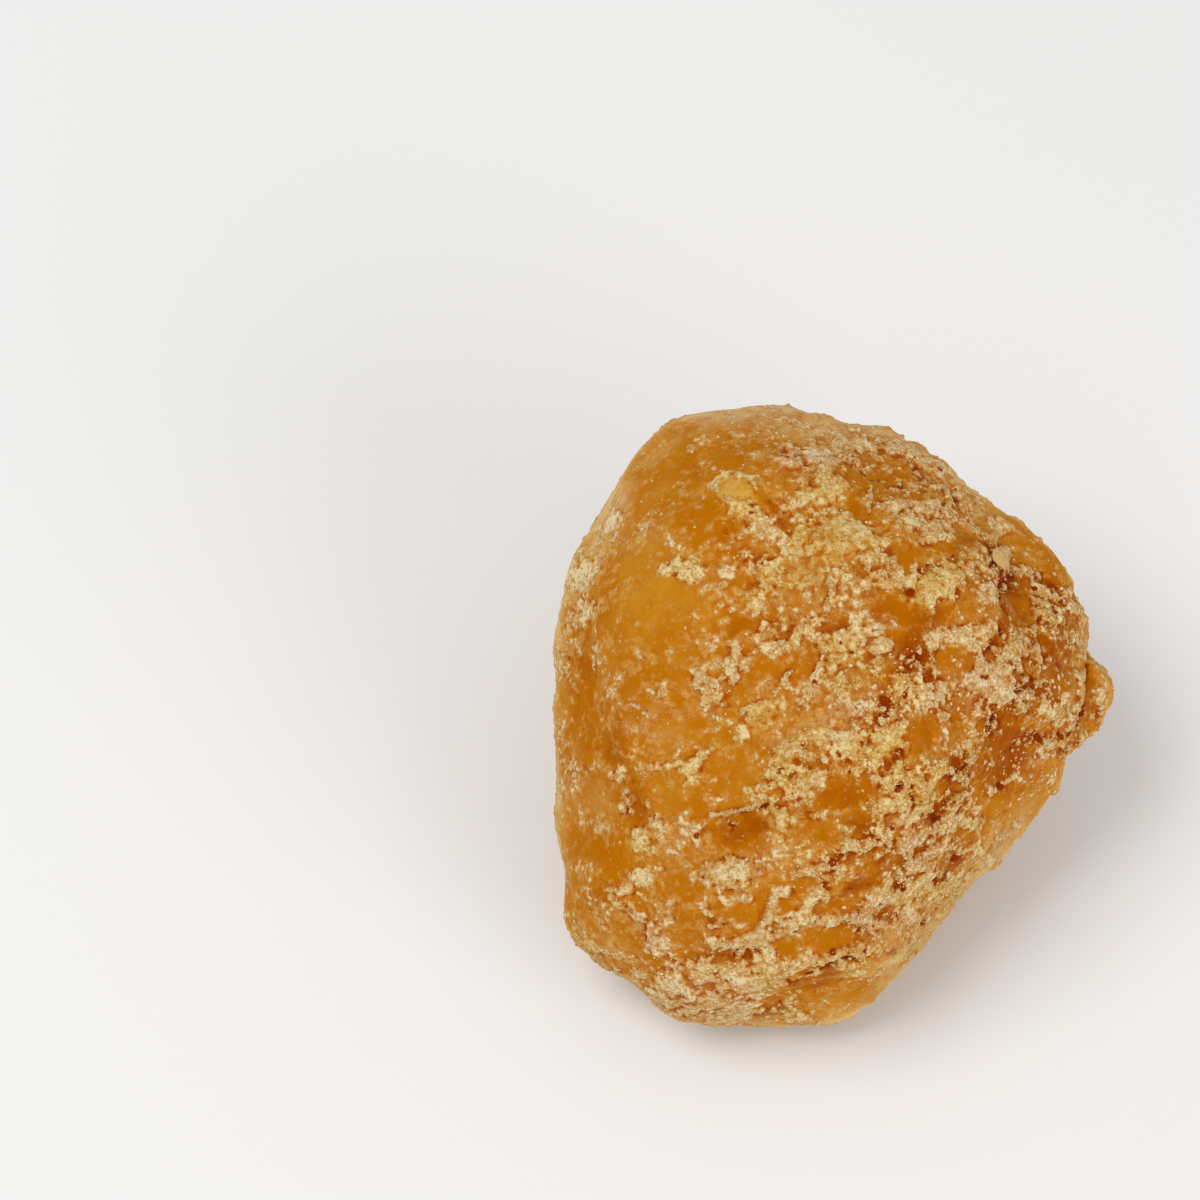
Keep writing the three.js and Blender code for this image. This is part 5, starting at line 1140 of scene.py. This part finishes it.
    # painted shade: where the fine relief sinks, the crust turns to a shaded amber
    crust_c = t.blend(t.ramp(n_grain, 0.42, 0.32, 0.0, 0.6), crust_c, srgb(160, 86, 12))
    skin = t.blend(crust_m, amber, crust_c)

    # grains of frost too small to be pieces
    grain_m = t.times(t.ramp(dots, 0.25, 0.12), grainy_v)
    skin = t.blend(t.times(grain_m, 0.50), skin, srgb(222, 190, 132))

    # painted shade on the lower right slope: a greyer colour, darker than the crust and frost
    skin = t.blend(t.times(slope_shade_v, t.ramp(n_grain, 0.36, 0.60, 0.08, 0.62)), skin, srgb(173, 151, 106))

    # painted shade in pits, cracks and holes and painted shadow below the ledges, in a deep red-brown
    dark_m = t.ramp(t.add(dark_v, t.times(about_grain, 1.5)), 0.34, 0.74)
    skin = t.blend(dark_m, skin, srgb(*CREVICE))
    # painted shade: hollows are darkened and warmed in the colour, standing in for light that reaches a hollow
    # through the mass
    hollow_shade = t.times(t.ramp(cavity_v, 0.0, 0.9), t.math("SUBTRACT", 1.0, dark_m))
    skin = t.blend(hollow_shade, skin, srgb(247, 194, 118), "MULTIPLY")

    # relief finer than the mesh
    fine = t.add(
        t.times(crust_m, 0.30),
        t.times(crust_m, t.add(t.times(n_grain, 0.5), t.times(n_fine, 0.4), t.times(specks, -0.35))),
        t.times(n_fine, 0.06),
        t.times(grain_m, 0.30),
        t.times(dark_m, -0.4),
    )
    bump = t.node("ShaderNodeBump")
    bump.inputs["Strength"].default_value = 0.6
    bump.inputs["Distance"].default_value = 0.00018
    t.put(bump.inputs["Height"], fine)

    rough = t.blend(crust_m, (0.50, 0.50, 0.50, 1), (0.92, 0.92, 0.92, 1))
    rough = t.blend(frost_m, rough, (0.80, 0.80, 0.80, 1))

    shader = t.node("ShaderNodeBsdfPrincipled")
    t.put(shader.inputs["Base Color"], skin)
    t.put(shader.inputs["Roughness"], rough)
    t.put(shader.inputs["Normal"], bump.outputs["Normal"])
    shader.inputs["Specular IOR Level"].default_value = 0.015
    shader.inputs["Subsurface Weight"].default_value = 0.25
    shader.inputs["Subsurface Radius"].default_value = (1.0, 0.42, 0.12)
    shader.inputs["Subsurface Scale"].default_value = 0.0009
    out = t.node("ShaderNodeOutputMaterial")
    t.tree.links.new(shader.outputs[0], out.inputs["Surface"])
    return m


def crumb_material():
    m = bpy.data.materials.new("jaggery_crumbs")
    t = Tree(m)
    place = t.node("ShaderNodeTexCoord").outputs["Object"]
    tone, top, pink_v = t.attribute("tone"), t.attribute("top"), t.attribute("pink")
    n = t.noise(place, 3000, 2, 0.6)
    mix = t.add(tone, t.times(t.math("SUBTRACT", n, 0.5), 0.3))
    yellow = t.blend(t.ramp(mix, 0.0, 0.5), srgb(192, 134, 50), srgb(206, 166, 96))
    yellow = t.blend(t.ramp(mix, 0.45, 0.95), yellow, srgb(225, 206, 152))
    rosy = t.blend(t.ramp(mix, 0.0, 0.5), srgb(188, 134, 76), srgb(204, 164, 114))
    rosy = t.blend(t.ramp(mix, 0.45, 0.95), rosy, srgb(225, 205, 166))
    c = t.blend(t.ramp(pink_v, -0.45, 0.55), yellow, rosy)
    # a crumb's foot takes the colour of the mass that it sits in
    c = t.blend(t.ramp(top, 0.50, 0.0, 0.0, 0.65), c, srgb(186, 118, 30))
    bump = t.node("ShaderNodeBump")
    bump.inputs["Strength"].default_value = 0.6
    bump.inputs["Distance"].default_value = 0.0001
    t.put(bump.inputs["Height"], n)
    shader = t.node("ShaderNodeBsdfPrincipled")
    t.put(shader.inputs["Base Color"], c)
    t.put(shader.inputs["Roughness"], t.ramp(n, 0.2, 0.8, 0.75, 0.95))
    t.put(shader.inputs["Normal"], bump.outputs["Normal"])
    shader.inputs["Specular IOR Level"].default_value = 0.08
    out = t.node("ShaderNodeOutputMaterial")
    t.tree.links.new(shader.outputs[0], out.inputs["Surface"])
    return m


# ---- writing the meshes ---------------------------------------------------------------------------------------
def fill_mesh(mesh, verts, faces, attributes):
    sides = faces.shape[1]
    mesh.vertices.add(len(verts))
    mesh.vertices.foreach_set("co", verts.astype(np.float32).ravel())
    mesh.loops.add(faces.size)
    mesh.loops.foreach_set("vertex_index", faces.astype(np.int32).ravel())
    mesh.polygons.add(len(faces))
    mesh.polygons.foreach_set("loop_start", np.arange(0, faces.size, sides, dtype=np.int32))
    mesh.polygons.foreach_set("loop_total", np.full(len(faces), sides, np.int32))
    mesh.update(calc_edges=True)
    for key, values in attributes.items():
        values = np.asarray(values, np.float32)
        layer = mesh.attributes.new(key, "FLOAT" if values.ndim == 1 else "FLOAT_VECTOR", "POINT")
        layer.data.foreach_set("value" if values.ndim == 1 else "vector", values.ravel())


def make_mesh(name, verts_mm, faces, material, attributes, uv):
    mesh = bpy.data.meshes.new(name)
    fill_mesh(mesh, verts_mm * MM, faces, attributes)
    layer = mesh.uv_layers.new(name="OFBake")
    layer.uv.foreach_set("vector", uv.astype(np.float32).ravel())
    mesh.materials.append(material)
    mesh.validate()
    o = bpy.data.objects.new(name, mesh)
    SCENE.collection.objects.link(o)
    return o


def six_sided_map(p, faces, directions):
    """A map in six charts, one for each way a face may look, three across and two up."""
    face_way = directions[faces].mean(1)
    axis = np.abs(face_way).argmax(1)
    sign = (np.take_along_axis(face_way, axis[:, None], 1)[:, 0] > 0).astype(int)
    centre = (p.max(0) + p.min(0)) / 2
    span = (p.max(0) - p.min(0)).max() * 1.03
    q = (p - centre) / span + 0.5
    uv = np.empty(faces.shape + (2,))
    others = {0: (1, 2), 1: (0, 2), 2: (0, 1)}
    for k in range(3):
        mine = axis == k
        u, v = others[k]
        chart = k + 3 * sign[mine]
        corner = q[faces[mine]]
        uv[mine, :, 0] = (corner[:, :, u] + (chart % 3)[:, None]) / 3
        uv[mine, :, 1] = (corner[:, :, v] + (chart // 3)[:, None]) / 2
    return uv


# split each quad along its shorter diagonal, so that every face is a flat triangle
d02 = np.linalg.norm(points[quads[:, 0]] - points[quads[:, 2]], axis=1)
d13 = np.linalg.norm(points[quads[:, 1]] - points[quads[:, 3]], axis=1)
first_way = (d02 <= d13)[:, None, None]
triangles = np.where(
    first_way,
    np.stack([quads[:, [0, 1, 2]], quads[:, [0, 2, 3]]], 1),
    np.stack([quads[:, [0, 1, 3]], quads[:, [1, 2, 3]]], 1),
).reshape(-1, 3)


def thinned(verts, faces, fields, most):
    """The same surface with at most so many triangles, taken from where it is flattest."""
    mesh = bpy.data.meshes.new("thin")
    fill_mesh(mesh, verts, faces, fields)
    o = bpy.data.objects.new("thin", mesh)
    SCENE.collection.objects.link(o)
    thin = o.modifiers.new("thin", "DECIMATE")
    thin.ratio = most / len(faces)
    bpy.context.view_layer.update()
    done = bpy.data.meshes.new_from_object(o.evaluated_get(bpy.context.evaluated_depsgraph_get()))
    got_verts = np.empty(len(done.vertices) * 3)
    done.vertices.foreach_get("co", got_verts)
    got_faces = np.empty(len(done.loops), np.int64)
    done.loops.foreach_get("vertex_index", got_faces)
    if len(got_faces) != 3 * len(done.polygons):
        raise RuntimeError("the thinned mesh has faces that aren't triangles")
    got_fields = {}
    for key, values in fields.items():
        layer = done.attributes[key]
        got = np.empty(len(done.vertices) * (1 if np.ndim(values) == 1 else 3))
        layer.data.foreach_get("value" if np.ndim(values) == 1 else "vector", got)
        got_fields[key] = got if np.ndim(values) == 1 else got.reshape(-1, 3)
    bpy.data.objects.remove(o)
    bpy.data.meshes.remove(mesh)
    bpy.data.meshes.remove(done)
    return got_verts.reshape(-1, 3), got_faces.reshape(-1, 3), got_fields


skin = jaggery_material()
skin_points, skin_triangles, skin_fields = thinned(
    points,
    triangles,
    {
        "spot": mass, "cover": cover, "broken": broken_up, "plate": plate, "frost": frost, "amber_depth_and_shading": amber_depth_and_shading, "dark": dark,
        "pink": pink, "soft": soft, "haze": haze, "tone": tone, "grainy": grainy, "foot": foot, "cavity": cavity,
        "filmy": filmy, "slope_shade": slope_shade,
        "way": smooth_normal,
    },
    MOST_TRIANGLES,
)
way = skin_fields.pop("way")
skin_points[:, 2] = np.maximum(skin_points[:, 2], 0.0)
body = make_mesh(
    "jaggery_skin", skin_points, skin_triangles, skin, skin_fields, six_sided_map(skin_fields["spot"], skin_triangles, way)
)
body.data.shade_smooth()
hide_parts("jaggery_block")
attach(body, "root")

# ---- crumbs and grains ------------------------------------------------------------------------------------------
rng = np.random.default_rng(20)
point_normal = normals_of(points)
corner_p = points[triangles]
areas = np.linalg.norm(np.cross(corner_p[:, 1] - corner_p[:, 0], corner_p[:, 2] - corner_p[:, 0]), axis=1) / 2
clear_of_base = ramp(base[:, 2], 1.2, 2.4)
clumps = ramp(fbm(mass, 2.6, 2, 131), -0.15, 0.45)


def ball(level):
    """A unit ball of triangles: 20 faces at level 0, 80 at level 1."""
    g = (1 + 5**0.5) / 2
    v = [(-1, g, 0), (1, g, 0), (-1, -g, 0), (1, -g, 0), (0, -1, g), (0, 1, g), (0, -1, -g), (0, 1, -g), (g, 0, -1), (g, 0, 1), (-g, 0, -1), (-g, 0, 1)]
    f = [(0, 11, 5), (0, 5, 1), (0, 1, 7), (0, 7, 10), (0, 10, 11), (1, 5, 9), (5, 11, 4), (11, 10, 2), (10, 7, 6), (7, 1, 8), (3, 9, 4), (3, 4, 2), (3, 2, 6), (3, 6, 8), (3, 8, 9), (4, 9, 5), (2, 4, 11), (6, 2, 10), (8, 6, 7), (9, 8, 1)]
    v = [np.array(p, float) / math.hypot(*p) for p in v]
    for _ in range(level):
        middle, finer = {}, []
        for tri in f:
            m = []
            for i, j in ((0, 1), (1, 2), (2, 0)):
                key = tuple(sorted((tri[i], tri[j])))
                if key not in middle:
                    p = v[key[0]] + v[key[1]]
                    middle[key] = len(v)
                    v.append(p / np.linalg.norm(p))
                m.append(middle[key])
            finer += [(tri[0], m[0], m[2]), (tri[1], m[1], m[0]), (tri[2], m[2], m[1]), (m[0], m[1], m[2])]
        f = finer
    return np.array(v), np.array(f)


def seat(name, at, up, size, tone, pinkness, level, sink, flatness):
    """Crumbs with the middle of their foot near at, on the skin that looks towards up."""
    count = len(at)
    shape_v, shape_f = ball(level)
    kinds = 32
    kind_v = []
    for _ in range(kinds):
        v = shape_v * (1 + (0.34, 0.22, 0.05)[level] * (rng.random((len(shape_v), 1)) - 0.5) * 2)
        if level:
            v = v * (1 + 0.42 * noise(shape_v * 1.5 + rng.random(3) * 90, 1.0, 7)[:, None])
        v[np.abs(v @ rng.normal(size=3)) > 1.05] *= 0.86
        kind_v.append(v)
    kind_v = np.array(kind_v)[rng.integers(0, kinds, count)]

    side_way = np.cross(up, rng.normal(size=(count, 3)))
    side_way /= np.linalg.norm(side_way, axis=1)[:, None]
    other = np.cross(up, side_way)
    stretch = np.stack(
        [size * rng.uniform(0.85, 1.3, count), size * rng.uniform(0.75, 1.1, count), size * rng.uniform(*flatness, count)], 1
    )
    frame_of = np.stack([side_way, other, up], 1)  # rows
    local = kind_v * stretch[:, None, :]
    v = np.einsum("nvk,nkx->nvx", local, frame_of) + (at + up * (sink * stretch[:, 2])[:, None])[:, None, :]
    v[:, :, 2] = np.maximum(v[:, :, 2], 0.0)
    nv = len(shape_v)
    faces = (shape_f[None] + (np.arange(count) * nv)[:, None, None]).reshape(-1, 3)
    top = (kind_v[:, :, 2] + sink).ravel()  # how high over the skin, in half thicknesses

    # one small square of the map for each crumb
    across = int(math.ceil(math.sqrt(count)))
    cell = np.stack([np.arange(count) % across, np.arange(count) // across], 1) / across
    flat = kind_v[:, :, :2] / 2.9 + 0.5
    uv = cell[:, None, :] + flat / across
    uv = uv.reshape(-1, 2)[faces]
    fields = {"tone": np.repeat(tone, nv), "top": top, "pink": np.repeat(pinkness, nv)}
    o = make_mesh(name, v.reshape(-1, 3), faces, crumbs, fields, uv)
    o.data.shade_smooth()
    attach(o, "root")


def scatter(name, count, level, small, large, likes, tones, sink, flatness, size_power=1.6):
    """count crumbs seated on the skin. likes gives how well a crumb likes a spot, from the fields there."""
    w = areas * clear_of_base[triangles].mean(1)
    tries = count * 6
    pick = rng.choice(len(triangles), tries, p=w / w.sum())
    r1, r2 = rng.random(tries), rng.random(tries)
    s = np.sqrt(r1)
    bary = np.stack([1 - s, s * (1 - r2), s * r2], 1)

    def at_tries(values):
        got = values[triangles[pick]]
        return (got * (bary if got.ndim == 2 else bary[:, :, None])).sum(1)

    spot = at_tries(mass)
    fields = {
        "cover": cover, "frost": frost, "dark": dark, "clump": clumps, "pink": pink, "broken": broken_up, "loose": loose,
        "filmy": filmy, "plates": ramp(plates, 0.15, 0.35),
    }
    here = {k: at_tries(v) for k, v in fields.items()}
    here["crust"] = crust_at(spot, here["cover"], here["broken"], 1)
    liking = np.maximum(likes(here), 0)
    kept = rng.choice(tries, count, replace=False, p=liking / liking.sum())
    at, up = at_tries(points)[kept], at_tries(point_normal)[kept]
    up /= np.linalg.norm(up, axis=1)[:, None]
    size = small + (large - small) * rng.random(count) ** size_power

    tone = np.clip(tones[0] + tones[1] * rng.standard_normal(count), 0, 1)
    seat(name, at, up, size, tone, here["pink"][kept], level, sink, flatness)


crumbs = crumb_material()


def on_crust(here, low=0.49, high=0.58):
    return ramp(here["crust"], low, high)


def clean(here):
    return 1 - ramp(here["dark"], 0.2, 0.6)


scatter(
    "grains_fine", 9600, 0, 0.05, 0.12,
    lambda h: on_crust(h) * (0.3 + h["clump"]) * (1 - 0.6 * h["filmy"]) + 0.010 + 0.015 * ramp(h["frost"], 0.1, 0.8) + 0.05 * h["loose"] * h["clump"],
    (0.58, 0.20), -0.1, (0.5, 0.9),
)
scatter(
    "grains_mid", 9000, 0, 0.09, 0.24,
    lambda h: clean(h) * (on_crust(h, 0.50, 0.62) * (0.2 + 1.3 * h["clump"] ** 2 + 0.9 * h["broken"]) * (1 - 0.8 * h["filmy"]) * (1 - 0.7 * h["plates"]) + 0.006 + 0.03 * ramp(h["cover"], 0.36, 0.48)),
    (0.54, 0.22), -0.3, (0.4, 0.7), 2.2,
)
scatter(
    "grains_loose", 2600, 0, 0.10, 0.30,
    lambda h: h["loose"] * h["clump"] ** 2 * (0.2 + ramp(h["crust"], 0.30, 0.50)) + 0.5 * h["broken"] * on_crust(h, 0.42, 0.52),
    (0.72, 0.18), -0.3, (0.45, 0.75), 2.2,
)
scatter(
    "crumbs_coarse", 1700, 1, 0.17, 0.38,
    lambda h: clean(h) * (on_crust(h, 0.52, 0.66) * (0.2 + 1.5 * h["clump"] + 1.2 * h["broken"]) * (1 - 0.85 * h["filmy"]) * (1 - 0.7 * h["plates"]) + 0.003 + 0.10 * h["loose"] * h["clump"]),
    (0.52, 0.18), -0.40, (0.32, 0.55), 2.2,
)


def on_skin(places):
    """The skin's points at places (a, b) of the broad face, and the way it looks there."""
    seen = np.flatnonzero(facing > 0.15)
    nearest = []
    for k in range(0, len(places), 50):
        part = places[k : k + 50]
        nearest.append(np.argmin((a0[seen] - part[:, :1]) ** 2 + (b0[seen] - part[:, 1:]) ** 2, axis=1))
    k = seen[np.concatenate(nearest)]
    up = smooth_normal[k]
    across = (places[:, 0] - a0[k])[:, None] * ACROSS + (places[:, 1] - b0[k])[:, None] * UP_FACE
    across -= (((across * up).sum(1) / (up @ OUT_OF_FACE))[:, None]) * OUT_OF_FACE
    return points[k] + across, up, pink[k]


def seat_singles():
    singles = np.array(SINGLES)
    at, up, pinkness = on_skin(singles[:, :2])
    seat("crumbs_single", at, up, singles[:, 2], singles[:, 3], pinkness + 0.3, 1, -0.15, (0.5, 0.7))


def seat_flake():
    """The one flake that stands free of the crust about it, its outer edge a little off the skin."""
    at, up, pinkness = on_skin(np.array([(16.45, 15.4)]))
    up = up + 0.5 * OUT_OF_FACE
    up /= np.linalg.norm(up, axis=1)[:, None]
    seat("flake", at, up, np.array([1.05]), np.array([0.42]), pinkness - 0.2, 2, 1.3, (0.24, 0.26))


def seat_strings():
    """Grains strung along the pale ridges."""
    places, size = [], []
    for rise, half_width, line in RIDGES:
        for (ax, ay), (bx, by) in zip(line[:-1], line[1:]):
            length = math.hypot(bx - ax, by - ay)
            steps = max(1, int(length / 0.11))
            t = (np.arange(steps) + rng.random(steps)) / steps
            stray = rng.normal(size=(steps, 2)) * 0.55 * half_width
            keep = rng.random(steps) < 0.9
            places.append((np.stack([ax + t * (bx - ax), ay + t * (by - ay)], 1) + stray)[keep])
            size.append((0.07 + 0.13 * rng.random(steps) ** 2.2)[keep])
    places, size = np.concatenate(places), np.concatenate(size)
    at, up, pinkness = on_skin(places)
    tone = np.clip(0.60 + 0.16 * rng.standard_normal(len(size)), 0, 1)
    seat("grains_strung", at, up, size, tone, pinkness + 0.2, 0, -0.2, (0.5, 0.8))


seat_singles()
seat_strings()
seat_flake()

# ---- stage and light ------------------------------------------------------------------------------------------
def stage():
    mesh = bpy.data.meshes.new("floor")
    r = 6.0
    mesh.from_pydata([(-r, -r, 0), (r, -r, 0), (r, r, 0), (-r, r, 0)], [], [(0, 1, 2, 3)])
    m = bpy.data.materials.new("floor")
    t = Tree(m)
    shader = t.node("ShaderNodeBsdfPrincipled")
    shader.inputs["Base Color"].default_value = (0.86, 0.86, 0.86, 1)
    shader.inputs["Roughness"].default_value = 0.9
    shader.inputs["Specular IOR Level"].default_value = 0.1
    out = t.node("ShaderNodeOutputMaterial")
    t.tree.links.new(shader.outputs[0], out.inputs["Surface"])
    mesh.materials.append(m)
    o = bpy.data.objects.new("floor", mesh)
    SCENE.collection.objects.link(o)
    o.location.z = -0.00002


def lamp(name, at, aim, size, power, colour=(1, 1, 1)):
    data = bpy.data.lights.new(name, "AREA")
    data.shape = "DISK"
    data.size = size
    data.energy = power
    data.color = colour
    o = bpy.data.objects.new(name, data)
    SCENE.collection.objects.link(o)
    o.location = at
    o.rotation_euler = (Vector(aim) - Vector(at)).to_track_quat("-Z", "Y").to_euler()


stage()
lamp("key", (-0.30, -0.06, 0.62), (0, 0, 0.015), 0.40, 1.93, (1.0, 0.99, 0.97))
lamp("fill", (0.52, -0.50, 0.30), (0, 0, 0.015), 0.60, 2.25, (1.0, 0.99, 0.98))
world = bpy.data.worlds.new("room")
SCENE.world = world
world.use_nodes = True
world.node_tree.nodes["Background"].inputs["Color"].default_value = (1.0, 1.0, 1.0, 1)
world.node_tree.nodes["Background"].inputs["Strength"].default_value = 0.57
SCENE.view_settings.view_transform = "Standard"
SCENE.view_settings.look = "None"
SCENE.view_settings.exposure = 0.0
SCENE.view_settings.gamma = 1.0
